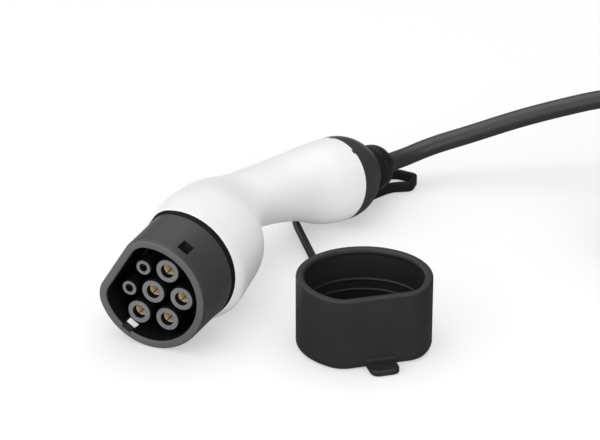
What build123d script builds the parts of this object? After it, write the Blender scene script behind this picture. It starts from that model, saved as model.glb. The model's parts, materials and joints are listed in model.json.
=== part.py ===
from build123d import *
from math import atan2, cos, degrees, radians, sin, tan
import os

os.makedirs("parts", exist_ok=True)

# Vehicle-side charging plug with seven contacts, lying on a surface beside the
# dust cap that hangs on its tether. Millimetres and degrees, +Z up. The nose
# points along -Y and the grip runs back from it.

# ---- how the plug lies ----
roll = 33.0  # how far the flat of the nose is turned up
pitch = 2.3  # how far the nose points down
stand_x = -50.9  # middle of the rim from the middle of the footprint
stand_y = -131.0

# ---- nose: walls outside the cavity, on the round side and on the flat ----
cavity_radius = 26.9
cavity_flat = 20.1  # distance of the flat from the nose axis
cavity_corner = 10.5
cavity_depth = 32.0
mouth_edge = 0.8  # how far the cavity's edge is drawn out
rim_wall = 2.9
rim_flat_wall = 3.0
edge_wall = 4.6  # behind the rim's slanted edge
edge_flat_wall = 4.5
edge_length = 1.4
nose_rear_wall = 4.85
nose_rear_flat_wall = 5.1
nose_corner_wall = 3.7
nose_length = 32.4
spigot_wall = 1.4  # the part of the nose inside the housing
spigot_flat_wall = 1.8
spigot_length = 17.2
carrier_shoulder = 0.4  # step that the contact carrier stops against
lock_width = 6.4
lock_front = 5.7  # from the rim to the lock window
lock_length = 4.9
lock_ramp = 3.6
groove_depth = 1.2
groove_inset = 0.3  # the groove is this much narrower than the window on each side
seal_thickness = 3.6
seal_swell = 0.67  # how much wider the seal is at the housing than at the nose
seal_flat_swell = 1.6

# ---- contacts ----
tower_recess = 4.06  # tower faces behind the rim
carrier_thickness = 8.0
power_row = 16.3  # line 1 and neutral from the middle
power_low_x = 8.15
power_low_y = -14.3
signal_x = 8.15
signal_y = 11.4
power_tower_radius = 6.8
power_mouth_radius = 3.8
power_bore_radius = 3.0
power_sleeve_radius = 3.6
power_flange_radius = 5.6
power_barrel_radius = 2.9
signal_tower_radius = 4.45
signal_mouth_radius = 2.25
signal_bore_radius = 1.5
signal_sleeve_radius = 2.0
signal_flange_radius = 3.4
signal_barrel_radius = 1.7
mouth_depth = 3.0  # contacts behind the tower faces
power_bore_depth = 24.0
signal_bore_depth = 16.0
flange_thickness = 2.0
barrel_length = 12.0
barrel_floor = 2.0
slit_width = 0.5
slit_length = 10.0
retainer_thickness = 3.0
retainer_inset = 1.8  # inside the cavity's outline
screw_radius = 1.25
screw_head_radius = 2.6
screw_head_height = 1.8
screw_length = 9.0

# ---- housing: head and grip ----
wall = 2.8
head_length = 78.7  # from the housing's front to where the grip axis meets the nose axis
grip_bend = 17.9
grip_length = 79.4  # from the knee to the end of the housing
grip_end_radius = 24.7
snap_back = 12.2  # snap slots behind the housing's front edge
snap_width = 5.4
snap_length = 2.6
snap_low_reach = 6.1  # how far the snaps stand out of the spigot
snap_top_reach = 6.8
snap_root = 1.0

# ---- end collar, tether ring, gland ----
collar_rise = 4.0  # straight stretch of the collar behind the housing
collar_length = 25.8
collar_end_radius = 16.2
skirt_length = 8.0
skirt_wall = 2.4
skirt_play = 0.9  # the housing narrows towards the skirt's front
key_width = 2.6
key_length = 1.3
key_root = 0.6
ring_width = 4.8
ring_outer_radius = 15.1
ring_edge = 0.5
ring_groove = 0.7
neck_radius = 12.4
neck_play = 0.08
thread_radius = 10.6
thread_length = 10.0
nut_radius = 13.9
nut_length = 14.6
nut_straight = 5.4  # from the nut's front to the start of its dome
nut_edge = 0.8
nut_mouth_radius = 8.4
gland_seal_length = 8.0
cable_diameter = 11.0
tunnel_radius = 8.0  # way for the cable through collar and neck

# ---- cores and clamp inside the grip ----
core_diameter = 3.3
pilot_diameter = 2.0
resistor_radius = 1.3
resistor_length = 6.5
resistor_lead = 1.0
lead_radius = 0.4
lead_loop = 4.0
solder_length = 6.0
core_straight = 8.0  # cores run straight this far behind the contacts
core_ring_radius = 3.45
jacket_start = 30.0  # the jacket is cut this far before the housing's end
clamp_length = 9.0
clamp_half_width = 12.5
clamp_height = 8.0
clamp_rounding = 1.5
clamp_screw_x = 9.2
clamp_screw_depth = 6.0

# ---- tether ----
keeper_wall = 1.6
keeper_reach = 20.5
keeper_root = 1.0
strap_thickness = 2.6
strap_width = 6.2
strap_lift = 0.1
strap_start = 1.0  # first two points of the strap, behind the ring's front
strap_turn = 15.0
strap_lead = 9.0  # straight stretch before the cap's boss

# ---- dust cap ----
cap_x = 98.5  # middle of the cap from the middle of the rim
cap_y = 53.6
cap_turn = -139.7  # the cap's flat faces 90 degrees further round
cap_play = 0.4  # round the nose, on the round side and on the flat
cap_flat_play = 0.1
cap_room = 3.5  # between the nose's rim and the cap's floor
cap_wall = 3.8
cap_floor = 3.4
cap_edge = 2.4
cap_rim_fillet = 1.0
lip_depth = 0.8  # lip inside the mouth that grips the nose
lip_height = 3.0
rib_heights = (14.7, 20.7)
rib_height = 1.2
rib_depth = 0.7
tab_width = 15.5
tab_reach = 11.5
tab_corner = 5.0
tab_thickness = 3.2
boss_width = 8.0
boss_depth = 9.0
boss_height = 8.6
boss_floor = 2.0  # left between the slot for the strap and the cap

# ---- cable beyond the gland ----
coil_x = 260.0  # middle of the coil from the middle of the rim
coil_y = 255.0
coil_mid_radius = 66.0
coil_spread = 14.45  # from the middle turn to the innermost and outermost
coil_layers = 4
coil_turns = 11.25
coil_play = 0.2  # how far the stored turns lie inside their ring
coil_join = 89.0  # where on the ring the cable comes in, at the top
first_run = 20.0  # straight out of the gland
last_run = 20.0  # straight towards the coil
stub_length = 45.0
boot_length = 24.0
boot_end_radius = 5.2
tail_length = 20.0
ferrule_length = 8.0
ferrule_radius = 0.9

gap = 0.15  # clearance between pieces that fit into each other
thread_play = 0.05  # round screws and wires
clamp_play = 0.2


def outline_d(plane, radius, flat, corner):
    """A circle with one flat side at +Y and large corners beside it."""
    with BuildSketch(plane) as outline:
        Circle(radius)
        with Locations((0, flat + radius)):
            Rectangle(4 * radius, 2 * radius, mode=Mode.SUBTRACT)
        fillet(outline.vertices().sort_by(Axis.Y)[-2:], corner)
    return outline.sketch


def discs(plane, places, radius):
    with BuildSketch(plane) as sketch:
        with Locations(*places):
            Circle(radius)
    return sketch.sketch


def behind(seat, distance):
    """A plane that lies this far behind another."""
    return seat.offset(-distance)


def across(seat):
    """Plane through a seat's axis: radius along X, distance behind the seat along Y."""
    return Plane(origin=seat.origin, x_dir=seat.x_dir, z_dir=seat.y_dir)


def half_section(seat, points):
    """Half of a turned form, from its corners."""
    with BuildSketch(across(seat)) as section:
        with BuildLine():
            Polyline(*points, close=True)
        make_face()
    return section.sketch


def axis_of(seat):
    return Axis(seat.origin, seat.z_dir)


def tipped(plane, angle):
    """A plane turned about its own X."""
    pivot = Axis((0, 0, 0), plane.x_dir)
    return Plane(plane.origin, plane.x_dir, plane.z_dir.rotate(pivot, angle))


def at(seat, x, y, back=0):
    """A seat moved sideways and back."""
    return Plane(seat.from_local_coords(Vector(x, y, -back)), seat.x_dir, seat.z_dir)


def corner_radii(points):
    """One radius for each corner of a route, as large as its runs allow."""
    radii = []
    for before, here, after in zip(points, points[1:], points[2:]):
        run_in, run_out = Vector(here) - Vector(before), Vector(after) - Vector(here)
        half_turn = radians(run_in.get_angle(run_out) / 2)
        radii.append(0.45 * min(run_in.length, run_out.length) / tan(half_turn))
    return radii


def save(builder, name):
    builder.part.label = name
    export_step(builder.part, f"parts/{name}.step")


# ---- outlines that follow from the cavity ----
rim_radius = cavity_radius + rim_wall
rim_flat = cavity_flat + rim_flat_wall
nose_corner = cavity_corner + nose_corner_wall
nose_rear_radius = cavity_radius + nose_rear_wall
nose_rear_flat = cavity_flat + nose_rear_flat_wall
edge_radius = cavity_radius + edge_wall
edge_flat = cavity_flat + edge_flat_wall
seal_rear = (nose_rear_radius + seal_swell, nose_rear_flat + seal_flat_swell)
spigot_radius = cavity_radius + spigot_wall
spigot_flat = cavity_flat + spigot_flat_wall
spigot_corner = cavity_corner + spigot_wall
cap_radius = nose_rear_radius + cap_play + cap_wall
cap_flat = nose_rear_flat + cap_flat_play + cap_wall
cap_height = cap_floor + cap_room + nose_length

# ---- planes ----
rim_height = edge_radius * cos(radians(pitch)) - edge_length * sin(radians(pitch))
nose = Plane(
    origin=(stand_x, stand_y, rim_height),
    x_dir=Vector(sin(radians(roll)), 0, cos(radians(roll))).rotate(Axis.X, pitch),
    z_dir=Vector(0, -1, 0).rotate(Axis.X, pitch),
)
housing_front = nose_length + seal_thickness
knee = tipped(behind(nose, housing_front + head_length), -grip_bend)
grip = behind(knee, grip_length)
snap_plane = behind(nose, housing_front + snap_back)
tower_face = behind(nose, tower_recess)
carrier_back = behind(nose, cavity_depth + carrier_thickness)

# ---- nose shell ----
bore = (
    cavity_radius + carrier_shoulder,
    cavity_flat + carrier_shoulder,
    cavity_corner + carrier_shoulder,
)
ramp_end = lock_front + lock_length + lock_ramp

with BuildPart() as nose_shell:
    loft(
        [
            outline_d(behind(nose, back), *size, nose_corner)
            for back, *size in (
                (0, rim_radius, rim_flat),
                (edge_length, edge_radius, edge_flat),
                (nose_length, nose_rear_radius, nose_rear_flat),
            )
        ],
        ruled=True,
    )
    extrude(
        outline_d(
            behind(nose, nose_length), spigot_radius, spigot_flat, spigot_corner
        ),
        amount=-spigot_length,
    )
    with BuildSketch(snap_plane):
        for side, surface, reach in (
            (-1, spigot_radius, snap_low_reach),
            (1, spigot_flat, snap_top_reach),
        ):
            with Locations((0, side * (surface + (reach - snap_root) / 2))):
                Rectangle(snap_width - 2 * gap, reach + snap_root)
    extrude(amount=(snap_length - 2 * gap) / 2, both=True)
    extrude(
        outline_d(nose, cavity_radius, cavity_flat, cavity_corner),
        amount=-cavity_depth,
        mode=Mode.SUBTRACT,
    )
    loft(
        [
            outline_d(
                behind(nose, mouth_edge - out),
                cavity_radius + out,
                cavity_flat + out,
                cavity_corner + out,
            )
            for out in (mouth_edge, 0)
        ],
        ruled=True,
        mode=Mode.SUBTRACT,
    )
    extrude(
        outline_d(behind(nose, cavity_depth), *bore),
        amount=-spigot_length - nose_length,
        mode=Mode.SUBTRACT,
    )
    with BuildSketch(nose):
        with Locations((cavity_radius, 0), (-cavity_radius, 0)):
            Rectangle(2 * groove_depth, lock_width - 2 * groove_inset)
    extrude(amount=-lock_front - lock_length, mode=Mode.SUBTRACT)
    # lock windows right and left, each with a ramp behind it
    for side in (1, -1):
        with BuildSketch(across(nose)):
            with BuildLine():
                Polyline(
                    (side * (cavity_radius - 2), lock_front),
                    (side * (cavity_radius - 2), lock_front + lock_length),
                    (side * cavity_radius, lock_front + lock_length),
                    (side * (edge_radius - 0.3), ramp_end),
                    (side * (edge_radius + 4), ramp_end),
                    (side * (edge_radius + 4), lock_front),
                    close=True,
                )
            make_face()
        extrude(amount=lock_width / 2, both=True, mode=Mode.SUBTRACT)
save(nose_shell, "nose_shell")

# ---- contact carrier: a base with seven towers ----
power_places = [
    (power_row, 0),
    (0, 0),
    (-power_row, 0),
    (power_low_x, power_low_y),
    (-power_low_x, power_low_y),
]
signal_places = [(signal_x, signal_y), (-signal_x, signal_y)]
screw_places = [(0, -22.2), (19.2, 10.8), (-19.2, 10.8)]
kinds = [
    (
        power_places,
        power_tower_radius,
        power_mouth_radius,
        power_sleeve_radius,
        power_flange_radius,
        power_barrel_radius,
    ),
    (
        signal_places,
        signal_tower_radius,
        signal_mouth_radius,
        signal_sleeve_radius,
        signal_flange_radius,
        signal_barrel_radius,
    ),
]

with BuildPart() as contact_carrier:
    extrude(
        outline_d(
            behind(nose, cavity_depth + gap / 3), *(size - gap for size in bore)
        ),
        amount=gap / 3 - carrier_thickness,
    )
    for places, tower, mouth, sleeve, flange, barrel in kinds:
        extrude(discs(tower_face, places, tower), amount=tower_recess - cavity_depth - 1)
    rims = contact_carrier.faces().sort_by(axis_of(nose))[-7:].edges()
    chamfer(rims, 0.5)
    for places, tower, mouth, sleeve, flange, barrel in kinds:
        extrude(
            discs(tower_face, places, mouth), amount=-mouth_depth, mode=Mode.SUBTRACT
        )
        extrude(
            discs(behind(tower_face, mouth_depth), places, sleeve + gap),
            amount=-cavity_depth - carrier_thickness,
            mode=Mode.SUBTRACT,
        )
        extrude(
            discs(carrier_back, places, flange + gap),
            amount=flange_thickness,
            mode=Mode.SUBTRACT,
        )
    extrude(
        discs(carrier_back, screw_places, screw_radius + thread_play),
        amount=screw_length - retainer_thickness + 0.5,
        mode=Mode.SUBTRACT,
    )
save(contact_carrier, "contact_carrier")

# ---- contacts: turned sockets with four slits, a flange and a crimp barrel ----
contact_front = tower_recess + mouth_depth + gap
contact_back = cavity_depth + carrier_thickness - contact_front
wire_seat = contact_front + contact_back + barrel_floor


def socket(place, sleeve, bore_size, depth, flange, barrel, wire):
    seat = at(nose, *place, contact_front)
    with BuildPart() as contact:
        revolve(
            half_section(
                seat,
                [
                    (bore_size, 0),
                    (sleeve - 0.4, 0),
                    (sleeve, 0.4),
                    (sleeve, contact_back - flange_thickness),
                    (flange, contact_back - flange_thickness),
                    (flange, contact_back),
                    (barrel, contact_back),
                    (barrel, contact_back + barrel_length),
                    (wire, contact_back + barrel_length),
                    (wire, contact_back + barrel_floor),
                    (0, contact_back + barrel_floor),
                    (0, depth),
                    (bore_size, depth),
                ],
            ),
            axis=axis_of(seat),
        )
        with BuildSketch(seat):
            Rectangle(4 * sleeve, slit_width)
            Rectangle(slit_width, 4 * sleeve)
        extrude(amount=-slit_length, mode=Mode.SUBTRACT)
    return contact


power_names = ["line_2", "earth", "line_1", "line_3", "neutral"]
for name, place in zip(power_names, power_places):
    contact = socket(
        place,
        power_sleeve_radius,
        power_bore_radius,
        power_bore_depth,
        power_flange_radius,
        power_barrel_radius,
        core_diameter / 2 + thread_play,
    )
    save(contact, "contact_" + name)
for name, place in zip(["pilot", "proximity"], signal_places):
    contact = socket(
        place,
        signal_sleeve_radius,
        signal_bore_radius,
        signal_bore_depth,
        signal_flange_radius,
        signal_barrel_radius,
        pilot_diameter / 2 + thread_play,
    )
    save(contact, "contact_" + name)

# ---- retainer plate and its screws ----
retainer_front = behind(carrier_back, gap / 3)
with BuildPart() as contact_retainer:
    extrude(
        outline_d(
            retainer_front,
            cavity_radius - retainer_inset,
            cavity_flat - retainer_inset,
            cavity_corner - retainer_inset,
        ),
        amount=-retainer_thickness,
    )
    for places, tower, mouth, sleeve, flange, barrel in kinds:
        extrude(
            discs(retainer_front, places, barrel + gap),
            amount=-retainer_thickness,
            mode=Mode.SUBTRACT,
        )
    extrude(
        discs(retainer_front, screw_places, screw_radius + thread_play),
        amount=-retainer_thickness,
        mode=Mode.SUBTRACT,
    )
save(contact_retainer, "contact_retainer")

screw_seat = behind(retainer_front, retainer_thickness)
with BuildPart() as retainer_screws:
    extrude(
        discs(screw_seat, screw_places, screw_head_radius), amount=-screw_head_height
    )
    extrude(discs(screw_seat, screw_places, screw_radius), amount=screw_length)
    with BuildSketch(behind(screw_seat, screw_head_height)):
        with Locations(*screw_places):
            RegularPolygon(1.1, 6)
    extrude(amount=1.0, mode=Mode.SUBTRACT)
save(retainer_screws, "retainer_screws")

# ---- seal between nose and housing ----
with BuildPart() as nose_seal:
    seal_seat = behind(nose, nose_length)
    loft(
        [
            outline_d(seal_seat, nose_rear_radius, nose_rear_flat, nose_corner),
            outline_d(behind(nose, housing_front), *seal_rear, nose_corner),
        ],
        ruled=True,
    )
    extrude(
        outline_d(seal_seat, spigot_radius + gap, spigot_flat + gap, spigot_corner),
        amount=-seal_thickness,
        mode=Mode.SUBTRACT,
    )
save(nose_seal, "nose_seal")

# ---- housing: one skin over head and grip ----
# sections of the head, which turn with the knee: behind the housing's front, tilt,
# half width, top, bottom, how flat the top is
head_sections = [
    (0, 0, *seal_rear, seal_rear[0], 1.0),
    (4.5, 0, 32.0, 27.9, 35.3, 0.97),
    (11, 0, 31.5, 29.3, 35.3, 0.9),
    (18, 0, 31.0, 30.1, 34.3, 0.8),
    (25, 0, 30.3, 30.2, 33.4, 0.7),
    (40, 0, 28.0, 29.9, 30.7, 0.5),
    (55, 6, 21.8, 28.1, 24.0, 0.3),
    (67, 12, 17.3, 24.6, 18.1, 0.15),
    (74.5, 16, 16.0, 22.0, 16.0, 0.05),
]
# sections of the grip, square to its axis: before its end, half width, top, bottom
grip_sections = [
    (grip_length - 5.4, 16.1, 21.0, 14.1),
    (grip_length - 18.4, 16.7, 21.8, 13.5),
    (grip_length - 32.4, 17.9, 22.6, 14.4),
    (36, 19.4, 23.4, 16.0),
    (29, 20.6, 23.7, 18.0),
    (21, 22.4, 24.2, 21.6),
    (15, 23.5, 24.4, 23.3),
    (10, 24.1, 24.6, 24.1),
    (5, 24.5, 24.7, 24.6),
    (0, grip_end_radius, grip_end_radius, grip_end_radius),
]
# pulls of the curve over a quarter, for a round and for a flat top
round_pulls = (0.414, 0.776, 0.776, 0.414)
flat_pulls = (0.700, 0.579, 1.065, 0.638)


def house_sections(skin):
    """The closed sections of the housing, drawn in by the thickness of a skin."""
    rows = [
        (
            tipped(behind(nose, housing_front + back), -tilt),
            half,
            top,
            bottom,
            flat,
        )
        for back, tilt, half, top, bottom, flat in head_sections
    ] + [
        (grip.offset(ahead), half, top, bottom, 0)
        for ahead, half, top, bottom in grip_sections
    ]
    faces = []
    for plane, half, top, bottom, flat in rows:
        x, up, down = half - skin, top - skin, skin - bottom
        side, bend_x, bend_y, brow = [
            curved + flat * (level - curved)
            for curved, level in zip(round_pulls, flat_pulls)
        ]
        low_side, low_x, low_y, low_brow = round_pulls
        with BuildSketch(plane) as section:
            with BuildLine():
                for sign in (1, -1):
                    Bezier(
                        (sign * x, 0),
                        (sign * x, side * up),
                        (sign * bend_x * x, bend_y * up),
                        (sign * brow * x, up),
                        (0, up),
                    )
                    Bezier(
                        (sign * x, 0),
                        (sign * x, low_side * down),
                        (sign * low_x * x, low_y * down),
                        (sign * low_brow * x, down),
                        (0, down),
                    )
            make_face()
        faces.append(section.sketch)
    return faces


key_angles = (-1.6, 39.0, 181.6, 141.0)  # keys between housing and collar

with BuildPart() as handle_housing:
    loft(house_sections(0))
    loft(house_sections(wall), mode=Mode.SUBTRACT)
    with BuildSketch(snap_plane):
        Rectangle(snap_width, 4 * spigot_radius)
    extrude(amount=snap_length / 2, both=True, mode=Mode.SUBTRACT)
    with BuildSketch(grip):
        for angle in key_angles:
            with Locations(Location((0, 0, 0), (0, 0, angle))):
                with Locations((grip_end_radius, 0)):
                    Rectangle(2 * wall + 2 * key_root, key_width + 2 * gap)
    extrude(amount=key_length + gap, mode=Mode.SUBTRACT)
save(handle_housing, "handle_housing")

# ---- end collar: skirt, dome, neck for the tether ring, gland thread ----
neck_end = collar_length + ring_width + 2 * gap
skirt_radius = grip_end_radius - wall - skirt_play
skirt_bore = skirt_radius - skirt_wall
key_inside = skirt_radius - key_root
key_outside = grip_end_radius - gap
clamp_bore = cable_diameter / 2 + gap
with BuildPart() as end_collar:
    with BuildSketch(across(grip)):
        with BuildLine():
            Polyline(
                (collar_end_radius, collar_length),
                (neck_radius, collar_length),
                (neck_radius, neck_end),
                (thread_radius, neck_end),
                (thread_radius, neck_end + thread_length),
                (tunnel_radius, neck_end + thread_length),
                (tunnel_radius, collar_length - 3),
                (skirt_bore, collar_rise),
                (skirt_bore, -skirt_length),
                (skirt_radius, -skirt_length),
                (skirt_radius, gap),
                (grip_end_radius, gap),
                (grip_end_radius, collar_rise),
            )
            Bezier(
                (grip_end_radius, collar_rise),
                (grip_end_radius - 0.3, collar_rise + 11),
                (collar_end_radius + 2.6, collar_length - 5),
                (collar_end_radius, collar_length),
            )
        make_face()
    revolve(axis=axis_of(grip))
    with BuildSketch(behind(grip, gap)):
        for angle in key_angles:
            with Locations(Location((0, 0, 0), (0, 0, angle))):
                with Locations(((key_outside + key_inside) / 2, 0)):
                    Rectangle(key_outside - key_inside, key_width)
    extrude(amount=key_length + gap)
    # bulkhead in the lower half of the skirt, with the cradle of the cable clamp
    with BuildSketch(grip.offset(skirt_length - clamp_length)):
        Circle(skirt_bore + 0.5)
        with Locations((0, skirt_bore)):
            Rectangle(4 * skirt_bore, 2 * skirt_bore + 0.4, mode=Mode.SUBTRACT)
        Circle(clamp_bore, mode=Mode.SUBTRACT)
    extrude(amount=clamp_length)
    clamp_middle = grip.offset(skirt_length - clamp_length / 2)
    clamp_joint = Plane(clamp_middle.origin, clamp_middle.x_dir, clamp_middle.y_dir)
    clamp_screws_at = [(clamp_screw_x, 0), (-clamp_screw_x, 0)]
    extrude(
        discs(clamp_joint, clamp_screws_at, screw_radius + thread_play),
        amount=-screw_length,
        mode=Mode.SUBTRACT,
    )
save(end_collar, "end_collar")

# ---- cable clamp ----
with BuildPart() as clamp_saddle:
    with BuildSketch(grip.offset(skirt_length - clamp_length + 1)):
        with Locations((0, clamp_height / 2 + clamp_play)):
            RectangleRounded(2 * clamp_half_width, clamp_height, clamp_rounding)
        Circle(clamp_bore, mode=Mode.SUBTRACT)
    extrude(amount=clamp_length - 2)
    extrude(
        discs(clamp_joint, clamp_screws_at, screw_radius + thread_play),
        amount=2 * clamp_height,
        mode=Mode.SUBTRACT,
    )
save(clamp_saddle, "clamp_saddle")

clamp_top = clamp_joint.offset(clamp_height + clamp_play)
with BuildPart() as clamp_screws:
    extrude(
        discs(clamp_top, clamp_screws_at, screw_head_radius), amount=screw_head_height
    )
    extrude(
        discs(clamp_top, clamp_screws_at, screw_radius),
        amount=-clamp_height - clamp_screw_depth,
    )
save(clamp_screws, "clamp_screws")

# ---- tether ring, which turns on the collar's neck ----
ring_front = behind(grip, collar_length + gap)
ring_back = behind(ring_front, ring_width)
ring_bore = neck_radius + neck_play
with BuildPart() as tether_ring:
    revolve(
        half_section(
            ring_front,
            [
                (ring_bore, 0),
                (ring_outer_radius - ring_edge, 0),
                (ring_outer_radius, ring_edge),
                (ring_outer_radius, (ring_width - ring_groove) / 2),
                (ring_outer_radius - ring_groove, ring_width / 2),
                (ring_outer_radius, (ring_width + ring_groove) / 2),
                (ring_outer_radius, ring_width - ring_edge),
                (ring_outer_radius - ring_edge, ring_width),
                (ring_bore, ring_width),
            ],
        ),
        axis=axis_of(grip),
    )
    # keeper: two cheeks that hold the strap under the ring
    under = degrees(atan2(-grip.y_dir.Z, -grip.x_dir.Z))
    with BuildSketch(ring_back):
        with Locations(Location((0, 0, 0), (0, 0, under))):
            for side in (1, -1):
                with Locations(
                    (
                        (keeper_reach + neck_radius + keeper_root) / 2,
                        side * (strap_thickness / 2 + gap + keeper_wall / 2),
                    )
                ):
                    Rectangle(keeper_reach - neck_radius - keeper_root, keeper_wall)
    extrude(amount=ring_width)
save(tether_ring, "tether_ring")

# ---- gland: seal and nut ----
thread_end = neck_end + thread_length
nut_front = behind(grip, neck_end + gap)
with BuildPart() as gland_seal:
    revolve(
        half_section(
            grip,
            [
                (cable_diameter / 2 + thread_play, thread_end - gland_seal_length),
                (tunnel_radius - gap, thread_end - gland_seal_length),
                (tunnel_radius - gap, thread_end),
                (cable_diameter / 2 + thread_play, thread_end + gap),
            ],
        ),
        axis=axis_of(grip),
    )
save(gland_seal, "gland_seal")

with BuildPart() as gland_nut:
    with BuildSketch(across(nut_front)):
        with BuildLine():
            Polyline(
                (nut_mouth_radius, nut_length),
                (cable_diameter / 2 + 2 * gap, nut_length),
                (cable_diameter / 2 + 2 * gap, thread_length + 2 * gap),
                (thread_radius + gap, thread_length + 2 * gap),
                (thread_radius + gap, 0),
                (nut_radius - nut_edge, 0),
                (nut_radius, nut_edge),
                (nut_radius, nut_straight),
            )
            Bezier(
                (nut_radius, nut_straight),
                (nut_radius, nut_length - 3),
                (nut_mouth_radius + 2.4, nut_length),
                (nut_mouth_radius, nut_length),
            )
        make_face()
    revolve(axis=axis_of(grip))
save(gland_nut, "gland_nut")

# ---- cores from the contacts to the cable, and the jacket that ends in the grip ----
jacket_front = grip.offset(jacket_start)
core_ends = {
    "line_2": (core_ring_radius, 0),
    "earth": (0, 0),
    "line_1": (-core_ring_radius, 0),
    "line_3": (core_ring_radius / 2, -core_ring_radius * sin(radians(60))),
    "neutral": (-core_ring_radius / 2, -core_ring_radius * sin(radians(60))),
    "pilot": (core_ring_radius / 2, core_ring_radius * sin(radians(60))),
}
core_starts = dict(zip(power_names + ["pilot"], power_places + signal_places[:1]))
for name, start in core_starts.items():
    diameter = pilot_diameter if name == "pilot" else core_diameter
    seat = at(nose, *start, wire_seat)
    route = [
        seat.origin,
        behind(seat, barrel_length + core_straight).origin,
        at(knee, *core_ends[name]).origin,
        at(jacket_front, *core_ends[name]).origin,
    ]
    if start == core_ends[name]:
        del route[1]  # the middle core starts straight towards the knee
    with BuildPart() as core:
        with BuildLine():
            FilletPolyline(*route, radius=corner_radii(route))
        with BuildSketch(seat):
            Circle(diameter / 2)
        sweep()
    save(core, "core_" + name)

# resistor in the proximity contact, its second lead soldered along the earth contact
resistor_front = wire_seat + barrel_length + resistor_lead
resistor_back = resistor_front + resistor_length
lead_y = power_barrel_radius + lead_radius + gap / 3
with BuildPart() as coding_resistor:
    extrude(
        discs(behind(nose, wire_seat), signal_places[1:], pilot_diameter / 2),
        amount=-barrel_length - resistor_lead,
    )
    extrude(
        discs(behind(nose, resistor_front), signal_places[1:], resistor_radius),
        amount=-resistor_length,
    )
    lead_seat = at(nose, *signal_places[1], resistor_back)
    route = [
        lead_seat.origin,
        behind(lead_seat, lead_loop).origin,
        at(nose, 0, lead_y, resistor_back + lead_loop).origin,
        at(nose, 0, lead_y, wire_seat + barrel_length - solder_length).origin,
    ]
    with BuildLine():
        FilletPolyline(*route, radius=corner_radii(route))
    with BuildSketch(lead_seat):
        Circle(lead_radius)
    sweep()
save(coding_resistor, "coding_resistor")

nut_end = neck_end + gap + nut_length
with BuildPart() as cable_inner:
    with BuildSketch(jacket_front):
        Circle(cable_diameter / 2)
    extrude(amount=-jacket_start - nut_end)
save(cable_inner, "cable_inner")

# ---- dust cap, open side up ----
cap_base = Plane(
    origin=(stand_x + cap_x, stand_y + cap_y, 0),
    x_dir=Vector(1, 0, 0).rotate(Axis.Z, cap_turn),
    z_dir=(0, 0, 1),
)


def cap_outline(height, inset):
    return outline_d(
        cap_base.offset(height), cap_radius - inset, cap_flat - inset, nose_corner - inset
    )


with BuildPart() as dust_cap:
    extrude(cap_outline(0, 0), amount=cap_height)
    fillet(dust_cap.faces().sort_by(Axis.Z)[0].edges(), cap_edge)
    fillet(dust_cap.faces().sort_by(Axis.Z)[-1].edges(), cap_rim_fillet)
    with BuildSketch(cap_base):
        with Locations((0, (cap_flat + tab_reach) / 2)):
            RectangleRounded(tab_width, cap_flat + tab_reach, tab_corner)
    extrude(amount=tab_thickness)
    with BuildSketch(cap_base):
        with Locations((0, -cap_radius + (boss_floor - boss_depth) / 2)):
            Rectangle(boss_width, boss_depth + boss_floor)
    extrude(amount=boss_height)
    extrude(
        cap_outline(cap_floor, cap_wall),
        amount=cap_height - cap_floor - lip_height,
        mode=Mode.SUBTRACT,
    )
    extrude(
        cap_outline(cap_height, cap_wall + lip_depth),
        amount=-lip_height,
        mode=Mode.SUBTRACT,
    )
    for height in rib_heights:
        extrude(cap_outline(height, cap_wall - gap), amount=rib_height)
        extrude(
            cap_outline(height, cap_wall + rib_depth),
            amount=rib_height,
            mode=Mode.SUBTRACT,
        )
    with BuildSketch(cap_base):
        with Locations((0, -cap_radius - boss_floor - boss_depth)):
            Rectangle(strap_thickness + 2 * gap, 2 * boss_depth)
    extrude(amount=strap_lift + strap_width + gap, mode=Mode.SUBTRACT)
save(dust_cap, "dust_cap")

# ---- tether strap: on edge, from the ring's keeper round to the cap ----
under_ring = behind(ring_front, strap_start).origin
under_nut = behind(ring_front, strap_turn).origin
strap_points = [
    (36.2, 242.0),
    (46.5, 248.6),
    (44.8, 260.6),
    (32.5, 262.6),
    (19.0, 255.9),
    (5.0, 236.8),
    (-4.2, 215.1),
    (-5.6, 196.0),
    (1.2, 177.6),
    (14.1, 159.6),
    (27.6, 141.1),
    (45.5, 116.6),
]
strap_route = [(under_ring.X, under_ring.Y), (under_nut.X, under_nut.Y)]
strap_route += [(stand_x + x, stand_y + y) for x, y in strap_points]
strap_route += [
    tuple(at(cap_base, 0, -cap_radius - back).origin)[:2]
    for back in (boss_depth + strap_lead, boss_floor + 2 * gap)
]
with BuildPart() as cap_tether:
    with BuildSketch(Plane.XY.offset(strap_lift)):
        with BuildLine() as strap_line:
            FilletPolyline(*strap_route, radius=corner_radii(strap_route))
        trace(line_width=strap_thickness)
    extrude(amount=strap_width)
save(cap_tether, "cap_tether")

# ---- cable: free in the air to the coil's top layer ----
coil_middle = (stand_x + coil_x, stand_y + coil_y)
coil_outer_turn = coil_mid_radius + coil_spread
coil_top = (coil_layers - 0.5) * cable_diameter
coil_heading = Vector(sin(radians(coil_join)), -cos(radians(coil_join)), 0)
coil_touch = Vector(
    coil_middle[0] + coil_outer_turn * cos(radians(coil_join)),
    coil_middle[1] + coil_outer_turn * sin(radians(coil_join)),
    coil_top,
)
cable_stop = coil_touch - coil_heading * stub_length
cable_seat = behind(grip, nut_end)
cable_points = [
    (50.0, 269.7, 21.8),
    (70.8, 283.5, 27.8),
    (94.9, 296.9, 35.4),
    (120.7, 310.2, 40.9),
    (146.1, 323.0, 44.9),
    (172.0, 332.1, 42.6),
]
cable_route = (
    [cable_seat.origin, behind(cable_seat, first_run).origin]
    + [Vector(stand_x + x, stand_y + y, z) for x, y, z in cable_points]
    + [cable_stop - coil_heading * last_run, cable_stop]
)
cable_radii = corner_radii(cable_route)
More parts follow.
